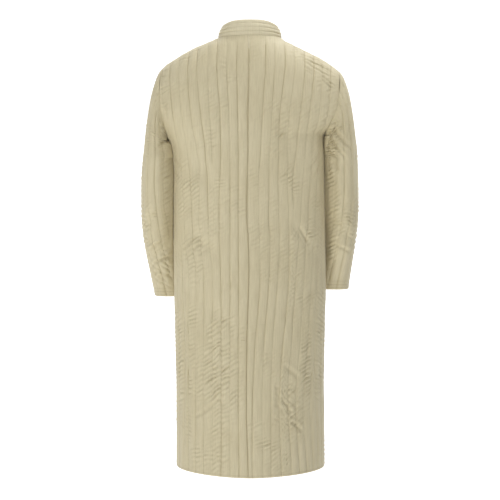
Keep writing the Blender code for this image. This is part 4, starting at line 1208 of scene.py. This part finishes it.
def collar(piece, material):
    cloth = Cloth(piece + "_cloth")
    at, places = front_neck("left")
    reach = float(np.interp(LAP, -places[:, 0], at))
    shares = np.linspace(-reach, reach, COLLAR_COLUMNS + 2)
    columns = np.arange(1, COLLAR_COLUMNS + 1)
    feet = neck_loop(shares)
    run = np.concatenate(([0.0], np.cumsum(np.linalg.norm(np.diff(feet, axis=0), axis=1))))
    under = np.where(shares < -0.5, lap_sink(-feet[:, 0]), 0.0)
    foot_normal, into = neck_frame(shares)
    room = SEAM_GAP * (0.8 + 5.2 * np.exp(-((np.abs(shares) - 0.53) / 0.09) ** 2))
    heights = [(c + s) / COLLAR_CHANNELS for c in range(COLLAR_CHANNELS) for s in COLLAR_SHARES] + [1.0]
    heights = sorted(heights + [0.006, 0.985])
    outside = []
    inside = []
    lines = {}
    for i, height in enumerate(heights):
        spot = collar_row(shares, height)
        across = collar_row(shares + 0.004, height) - collar_row(shares - 0.004, height)
        up = collar_row(shares, height + 0.01) - collar_row(shares, height - 0.01)
        normal = unit(np.cross(across, up))
        normal = normal * np.where(np.sum(normal[:, :2] * spot[:, :2], axis=1) < 0, -1.0, 1.0)[:, None]
        low = max(0.0, 1.0 - height * COLLAR_CHANNELS * 3)
        normal = unit(normal * (1 - low) + foot_normal * low)
        spot = spot - into * (room * low)[:, None]
        channel = height * COLLAR_CHANNELS
        apart = np.full(len(shares), (channel - round(channel)) * COLLAR_CHANNEL)
        tall = COLLAR_CHANNEL * COLLAR_CHANNELS
        to_edge = np.minimum(np.minimum(run, run[-1] - run), tall * min(height, 1.0 - height))
        seam = np.full(len(run), tall * height)
        free = np.minimum(np.minimum(run, run[-1] - run), tall * (1.0 - height))
        loft = 1.0 + 0.25 * noise(3, run / 0.05, np.full(len(run), math.floor(channel) * 2.9 + 40))
        ends = 0.35 + 0.65 * blend(np.abs(shares) / 0.36 - 0.1)
        relief = (1.0 - float(puff(channel - math.floor(channel + 1e-6)))) * loft
        pad = WALL - COLLAR_PADDING * relief * ends - GROOVE * ends * np.exp(-(apart / 0.0009) ** 2)
        fine = 0.00050 * puckers(apart, run, np.full(len(run), round(channel) + 60.0))
        tilt = height * tall - 0.16 * (0.5 - np.abs(shares)) * tall
        fine = fine - 0.0009 * ripple(5, run, tilt, np.zeros(len(run)), 0.06, 0.0085) * ends
        fine = fine + 0.00022 * noise(4, run / 0.011, np.full(len(run), channel * 1.6)) * (1.0 - relief)
        pad = SEAM_THICK + (np.maximum(pad + fine, 0.0012) - SEAM_THICK) * roll(seam, 0.002)
        pad = EDGE_THICK + (pad - EDGE_THICK) * roll(free, COLLAR_ROLL)
        still = blend(to_edge / 0.012)
        sway = 0.0009 * noise(2, run / 0.05, np.full(len(run), height * 1.3 + 30)) * still
        where = np.stack((run, np.full(len(run), height * tall)), axis=1)
        # Painted shade: the collar's colour is darkened along its sewn lines, at its free edge and at its neck
        # seam, where shade falls.
        painted_shade = 0.6 * ends * np.exp(-(apart / 0.0012) ** 2) + 0.4 * np.exp(-(free / 0.0012) ** 2)
        painted_shade = np.clip(painted_shade + 0.5 * np.exp(-(seam / 0.0010) ** 2), 0, 1)
        outer = cloth.add(spot - normal * (under + sway + WALL - pad)[:, None], where, painted_shade)
        outside.append((columns, outer))
        if 0 < i < len(heights) - 1 and abs(channel - round(channel)) < 1e-6:
            lines[i] = list(zip(cloth.points[-1][1:-1], normal[1:-1]))
        if i % 3 == 0 or i == len(heights) - 1:
            chosen = np.concatenate(([True], columns % 3 == 1, [True]))
            inner = cloth.add(spot[chosen] - normal[chosen] * (under + sway + WALL)[chosen][:, None],
                              where[chosen], painted_shade[chosen])
            inside.append((columns[columns % 3 == 1], inner, i))
    cloth.skin(outside)
    cloth.skin([(kept, numbers) for kept, numbers, _ in inside][::-1])
    cloth.rim(outside[0], inside[0][:2])
    cloth.rim(inside[-1][:2], outside[-1])
    for end in (0, -1):
        cloth.zip([(i, int(numbers[end])) for i, (_, numbers) in enumerate(outside)],
                  [(i, int(numbers[end])) for _, numbers, i in inside])
    return cloth.make(material, piece), stitches(piece, list(lines.values()))


# ---- buttons ----
BUTTON_PROFILE = {
    "radius": (0.80, 0.90, 0.97, 1.00, 0.975, 0.90, 0.76, 0.55, 0.28),
    "height": (0.00, 0.05, 0.15, 0.32, 0.54, 0.73, 0.88, 0.97, 1.01),
}
SPOKES = 32
HOLE_START = -0.0040
HOLE_END = 0.0180


def on_front(along, level, out):
    """Places on the upper front's plain band, out from its surface, and the way it faces."""
    def row(a, b):
        return body_row("left", -1.0, a, b)

    normal = row_normals(row, along, level, top=0.0)
    normal = normal * np.where(normal[:, 1] > 0, -1.0, 1.0)[:, None]
    return row(along, level) + normal * (out - BAND_SINK), normal


def mesh_piece(name, points, faces, material):
    sheet = bpy.data.meshes.new(name)
    sheet.from_pydata([tuple(float(v) for v in p) for p in points], [], faces)
    body = bmesh.new()
    body.from_mesh(sheet)
    bmesh.ops.recalc_face_normals(body, faces=body.faces)
    body.to_mesh(sheet)
    body.free()
    sheet.shade_smooth()
    sheet.materials.append(material)
    thing = bpy.data.objects.new(name, sheet)
    bpy.context.collection.objects.link(thing)
    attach(thing, "root")
    return thing


def button_level(number):
    level = BUTTON_FIRST - number * BUTTON_PITCH
    if level > BLADE_Z:
        level = BLADE_Z * (1.0 - (level - BLADE_Z) / (-NECK_DROP - BLADE_Z))
    return level


def button(number, material):
    """A button covered in cloth: a dome with a soft pleated rim."""
    place, normal = on_front(np.array([0.0]), button_level(number), 0.0010)
    centre = place[0]
    normal = normal[0]
    across = np.array((1.0, 0.0, 0.0))
    up = np.cross(normal, across)
    points = []
    faces = []
    turn = 2 * math.pi * np.arange(SPOKES) / SPOKES
    for ring, (radius, height) in enumerate(zip(BUTTON_PROFILE["radius"], BUTTON_PROFILE["height"])):
        pleat = 1.0 + 0.018 * (1.0 - height) * np.cos(11 * turn + number)
        bump = noise(8, 1.6 * np.cos(turn) * radius + number * 3.1, 1.6 * np.sin(turn) * radius)
        lift = height + 0.05 * bump
        if ring == 0:
            lift = np.zeros(SPOKES)
        for k in range(SPOKES):
            reach = (across * math.cos(turn[k]) + up * math.sin(turn[k])) * radius * BUTTON_RADIUS * pleat[k]
            points.append(centre + normal * lift[k] * BUTTON_HEIGHT + reach)
    rings = len(BUTTON_PROFILE["radius"])
    points.append(centre)
    points.append(centre + normal * BUTTON_HEIGHT * 1.02)
    for k in range(SPOKES):
        after = (k + 1) % SPOKES
        faces.append((len(points) - 2, after, k))
        faces.append((len(points) - 1, (rings - 1) * SPOKES + k, (rings - 1) * SPOKES + after))
        for ring in range(rings - 1):
            low = ring * SPOKES
            faces.append((low + k, low + after, low + SPOKES + after, low + SPOKES + k))
    name = "button_%02d" % (number + 1)
    thing = mesh_piece(name + "_covered", points, faces, material)
    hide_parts(name)
    return thing


def buttonholes(material, dark):
    """The worked holes: a ridge of thread round each slit, most of it under its button, and a thin dark strip of
    painted shade in each slit.
    """
    points = []
    faces = []
    slit_points = []
    slit_faces = []
    around = 56
    spokes = 6
    for number in range(BUTTON_COUNT):
        level = button_level(number)
        turn = 2 * math.pi * np.arange(around) / around
        half = (HOLE_END - HOLE_START) / 2
        along = (HOLE_START + HOLE_END) / 2 + half * np.sign(np.cos(turn)) * np.abs(np.cos(turn)) ** 0.75
        aside = 0.0017 * np.sign(np.sin(turn)) * np.abs(np.sin(turn)) ** 0.35
        spots, normals = on_front(along, level, 0.0003)
        spots = spots + np.cross(normals, (1.0, 0.0, 0.0)) * aside[:, None]
        ahead = unit(np.roll(spots, -1, axis=0) - np.roll(spots, 1, axis=0))
        beside = unit(np.cross(ahead, normals))
        base = len(points)
        for k in range(around):
            thick = 0.0008 if k % 2 else 0.00062
            for s in range(spokes):
                a = 2 * math.pi * s / spokes
                points.append(spots[k] + (beside[k] * math.cos(a) + normals[k] * math.sin(a)) * thick)
        for k in range(around):
            for s in range(spokes):
                low = base + k * spokes
                high = base + (k + 1) % around * spokes
                faces.append((low + s, low + (s + 1) % spokes, high + (s + 1) % spokes, high + s))
        # Painted shade: a thin dark strip along each slit, for the shadow inside the open hole.
        strip = np.linspace(HOLE_START + 0.001, HOLE_END - 0.001, 9)
        spots, normals = on_front(strip, level, 0.0002)
        up = np.cross(normals, (1.0, 0.0, 0.0))
        base = len(slit_points)
        for k in range(len(strip)):
            wide = 0.0006 * math.sin(math.pi * (k + 0.5) / len(strip)) ** 0.5
            slit_points.append(spots[k] + up[k] * wide)
            slit_points.append(spots[k] - up[k] * wide)
        for k in range(len(strip) - 1):
            low = base + 2 * k
            slit_faces.append((low, low + 1, low + 3, low + 2))
    return (mesh_piece("buttonhole_thread", points, faces, material),
            mesh_piece("buttonhole_slit_painted_shade", slit_points, slit_faces, dark))


# ---- materials ----
def shading(name, colour, roughness, sheen):
    material = bpy.data.materials.new(name)
    material.use_nodes = True
    shader = material.node_tree.nodes["Principled BSDF"]
    shader.inputs["Base Color"].default_value = colour
    shader.inputs["Roughness"].default_value = roughness
    shader.inputs["Sheen Weight"].default_value = sheen
    shader.inputs["Sheen Roughness"].default_value = 0.45
    shader.inputs["Sheen Tint"].default_value = (1.0, 0.97, 0.88, 1.0)
    shader.inputs["Specular IOR Level"].default_value = 0.32
    return material, material.node_tree, shader


def add(tree, kind, **values):
    node = tree.nodes.new(kind)
    for name, value in values.items():
        if name in node.inputs:
            node.inputs[name].default_value = value
        else:
            setattr(node, name, value)
    return node


def mix_colours(tree, share, one, other):
    """share picks between two colours, each a colour or a socket."""
    node = add(tree, "ShaderNodeMix", data_type="RGBA")
    for socket, value in ((node.inputs["Factor"], share), (node.inputs[6], one), (node.inputs[7], other)):
        if isinstance(value, (tuple, float)):
            socket.default_value = value
        else:
            tree.links.new(value, socket)
    return node.outputs[2]


def ramp(tree, source, low, high):
    """A socket from 0 to 1 as source goes from low to high."""
    node = add(tree, "ShaderNodeMapRange")
    node.inputs["From Min"].default_value = low
    node.inputs["From Max"].default_value = high
    tree.links.new(source, node.inputs["Value"])
    return node.outputs["Result"]


def woven(name, colour, streak, deep, roughness=0.60, sheen=0.34, flat=True):
    """Fine sateen: a thread pattern, faint streaks along the warp, soft patches, and painted shade in the sewn
    lines, seams, edges and crease troughs.
    """
    material, tree, shader = shading(name, colour, roughness, sheen)
    links = tree.links
    spot = add(tree, "ShaderNodeTexCoord")
    place = spot.outputs["UV"] if flat else spot.outputs["Object"]
    patches = add(tree, "ShaderNodeTexNoise", Scale=9.0, Detail=3.0, Roughness=0.55)
    links.new(spot.outputs["Object"], patches.inputs["Vector"])
    stretch = add(tree, "ShaderNodeMapping")
    stretch.inputs["Scale"].default_value = (1.0, 0.06, 1.0)
    links.new(place, stretch.inputs["Vector"])
    slubs = add(tree, "ShaderNodeTexNoise", Scale=330.0, Detail=3.0, Roughness=0.6)
    links.new(stretch.outputs["Vector"], slubs.inputs["Vector"])
    tone = mix_colours(tree, ramp(tree, patches.outputs["Fac"], 0.30, 0.72), colour, streak)
    tone = mix_colours(tree, ramp(tree, slubs.outputs["Fac"], 0.38, 1.30), tone, deep)
    if flat:
        # Painted shade: the point attribute darkens the base colour toward the deep colour along sewn lines,
        # seams, edges and crease troughs.
        painted_shade = add(tree, "ShaderNodeAttribute", attribute_name="painted_shade")
        tone = mix_colours(tree, ramp(tree, painted_shade.outputs["Fac"], 0.0, 1.25), tone, deep)
    links.new(tone, shader.inputs["Base Color"])
    warp = add(tree, "ShaderNodeTexWave", wave_type="BANDS", bands_direction="X", Scale=480.0)
    weft = add(tree, "ShaderNodeTexWave", wave_type="BANDS", bands_direction="Y", Scale=410.0)
    for wave in (warp, weft):
        links.new(place, wave.inputs["Vector"])
    threads = add(tree, "ShaderNodeMath", operation="MULTIPLY")
    links.new(warp.outputs["Fac"], threads.inputs[0])
    links.new(weft.outputs["Fac"], threads.inputs[1])
    crumple = add(tree, "ShaderNodeTexNoise", Scale=210.0, Detail=3.0, Roughness=0.55)
    links.new(spot.outputs["Object"], crumple.inputs["Vector"])
    weave = add(tree, "ShaderNodeBump", Strength=0.30, Distance=0.00012)
    links.new(threads.outputs["Value"], weave.inputs["Height"])
    soft = add(tree, "ShaderNodeBump", Strength=0.45, Distance=0.0007)
    links.new(crumple.outputs["Fac"], soft.inputs["Height"])
    links.new(weave.outputs["Normal"], soft.inputs["Normal"])
    links.new(soft.outputs["Normal"], shader.inputs["Normal"])
    return material


def plain(name, colour, roughness, sheen=0.0):
    """Twisted thread, or the shade of a slit."""
    material, tree, shader = shading(name, colour, roughness, sheen)
    spot = add(tree, "ShaderNodeTexCoord")
    grain = add(tree, "ShaderNodeTexNoise", Scale=GRAIN_SCALE, Detail=2.0)
    tree.links.new(spot.outputs["Object"], grain.inputs["Vector"])
    bump = add(tree, "ShaderNodeBump", Strength=0.5, Distance=0.0002)
    tree.links.new(grain.outputs["Fac"], bump.inputs["Height"])
    tree.links.new(bump.outputs["Normal"], shader.inputs["Normal"])
    darker = tuple(v * 0.80 for v in colour[:3]) + (1.0,)
    tone = mix_colours(tree, ramp(tree, grain.outputs["Fac"], 0.35, 0.75), colour, darker)
    tree.links.new(tone, shader.inputs["Base Color"])
    return material


# The deep colour is both the darker tone of the warp streaks and the colour of the painted shade.
cloth = woven("quilted_sateen", (0.618, 0.548, 0.360, 1.0), (0.662, 0.594, 0.404, 1.0),
              (0.455, 0.385, 0.235, 1.0))
# The collar's copy of the same sateen is paler: painted light, standing for the stronger light from above on the
# collar.
band = woven("collar_sateen_painted_light", (0.690, 0.622, 0.432, 1.0), (0.725, 0.660, 0.470, 1.0),
             (0.520, 0.450, 0.290, 1.0))
knob = woven("button_cloth", (0.575, 0.505, 0.335, 1.0), (0.610, 0.545, 0.370, 1.0), (0.43, 0.36, 0.22, 1.0),
             roughness=0.58, flat=False)
thread = plain("quilting_thread", (0.530, 0.460, 0.295, 1.0), 0.62, sheen=0.1)
slit_shade = plain("slit_shade", (0.110, 0.085, 0.055, 1.0), 0.95)

# ---- the pieces ----
# Each body piece: its name, its side, and 1 for the back or -1 for the front.
BODY = (("back_left", "left", 1.0), ("back_right", "right", 1.0),
        ("front_left", "left", -1.0), ("front_right", "right", -1.0))
for name, side, face in BODY:
    panel(name, side, face, cloth)
for side in SIDES:
    sleeve("sleeve_" + side, side, cloth)
collar("collar", band)
for number in range(BUTTON_COUNT):
    button(number, knob)
holes = buttonholes(thread, slit_shade)

# ---- studio ----
for old in list(bpy.data.lights):
    bpy.data.lights.remove(old)


def lamp(name, turn, rise, power, size=1.3, reach=3.2):
    """A soft box aimed at the middle of the coat; turn goes from the back to the wearer's left, in degrees."""
    light = bpy.data.lights.new(name, "AREA")
    light.shape = "SQUARE"
    light.size = size
    light.energy = power
    thing = bpy.data.objects.new(name, light)
    turn, rise = math.radians(turn), math.radians(rise)
    out = Vector((math.sin(turn) * math.cos(rise), math.cos(turn) * math.cos(rise), math.sin(rise)))
    thing.location = Vector((0.0, 0.0, -0.5)) + out * reach
    thing.rotation_mode = "QUATERNION"
    thing.rotation_quaternion = (-out).to_track_quat("-Z", "Y")
    bpy.context.collection.objects.link(thing)
    return thing


lamp("key", 35, 10, 28.5)
lamp("side", 76, 38, 19.0)
lamp("low", 2, -24, 12.0)
lamp("upper", -36, 50, 16.5)
lamp("top", -112, 70, 47.0)
lamp("shoulder", -74, 55, 2.5, size=0.4, reach=1.35)
lamp("rim", 178, 64, 10.0)
lamp("front_left", 150, 25, 9.0)
lamp("front_right", -150, 35, 6.0)

world = bpy.data.worlds.new("studio")
bpy.context.scene.world = world
world.use_nodes = True
world.node_tree.nodes["Background"].inputs["Color"].default_value = (1.0, 1.0, 1.0, 1.0)
world.node_tree.nodes["Background"].inputs["Strength"].default_value = 0.12


def backdrop():
    """A white paper sweep, well behind and below the coat."""
    profile = [(6.0, -2.9), (-4.0, -2.9)]
    for k in range(1, 10):
        turn = math.pi / 2 * k / 9
        profile.append((-4.0 - 1.5 * math.sin(turn), -2.9 + 1.5 * (1 - math.cos(turn))))
    profile.append((-5.5, 5.0))
    points = [(x, y, z) for y, z in profile for x in (-7.0, 7.0)]
    faces = [(2 * k, 2 * k + 1, 2 * k + 3, 2 * k + 2) for k in range(len(profile) - 1)]
    sheet = bpy.data.meshes.new("backdrop")
    sheet.from_pydata(points, [], faces)
    sheet.shade_smooth()
    material, _, shader = shading("white_paper", (0.90, 0.90, 0.90, 1.0), 0.9, 0.0)
    shader.inputs["Emission Color"].default_value = (1.0, 1.0, 1.0, 1.0)
    shader.inputs["Emission Strength"].default_value = 0.75
    sheet.materials.append(material)
    thing = bpy.data.objects.new("backdrop", sheet)
    bpy.context.collection.objects.link(thing)


backdrop()
bpy.context.scene.view_settings.view_transform = "Standard"

view = bpy.data.cameras.new("camera")
view.lens = 85.4
view.sensor_width = 36.0
view.shift_y = -0.050
camera = bpy.data.objects.new("camera", view)
camera.location = (0.0014, 3.3183, -0.4677)
camera.rotation_euler = (math.radians(90.0 - 0.922), 0.0, math.radians(180.0))
bpy.context.collection.objects.link(camera)
bpy.context.scene.camera = camera
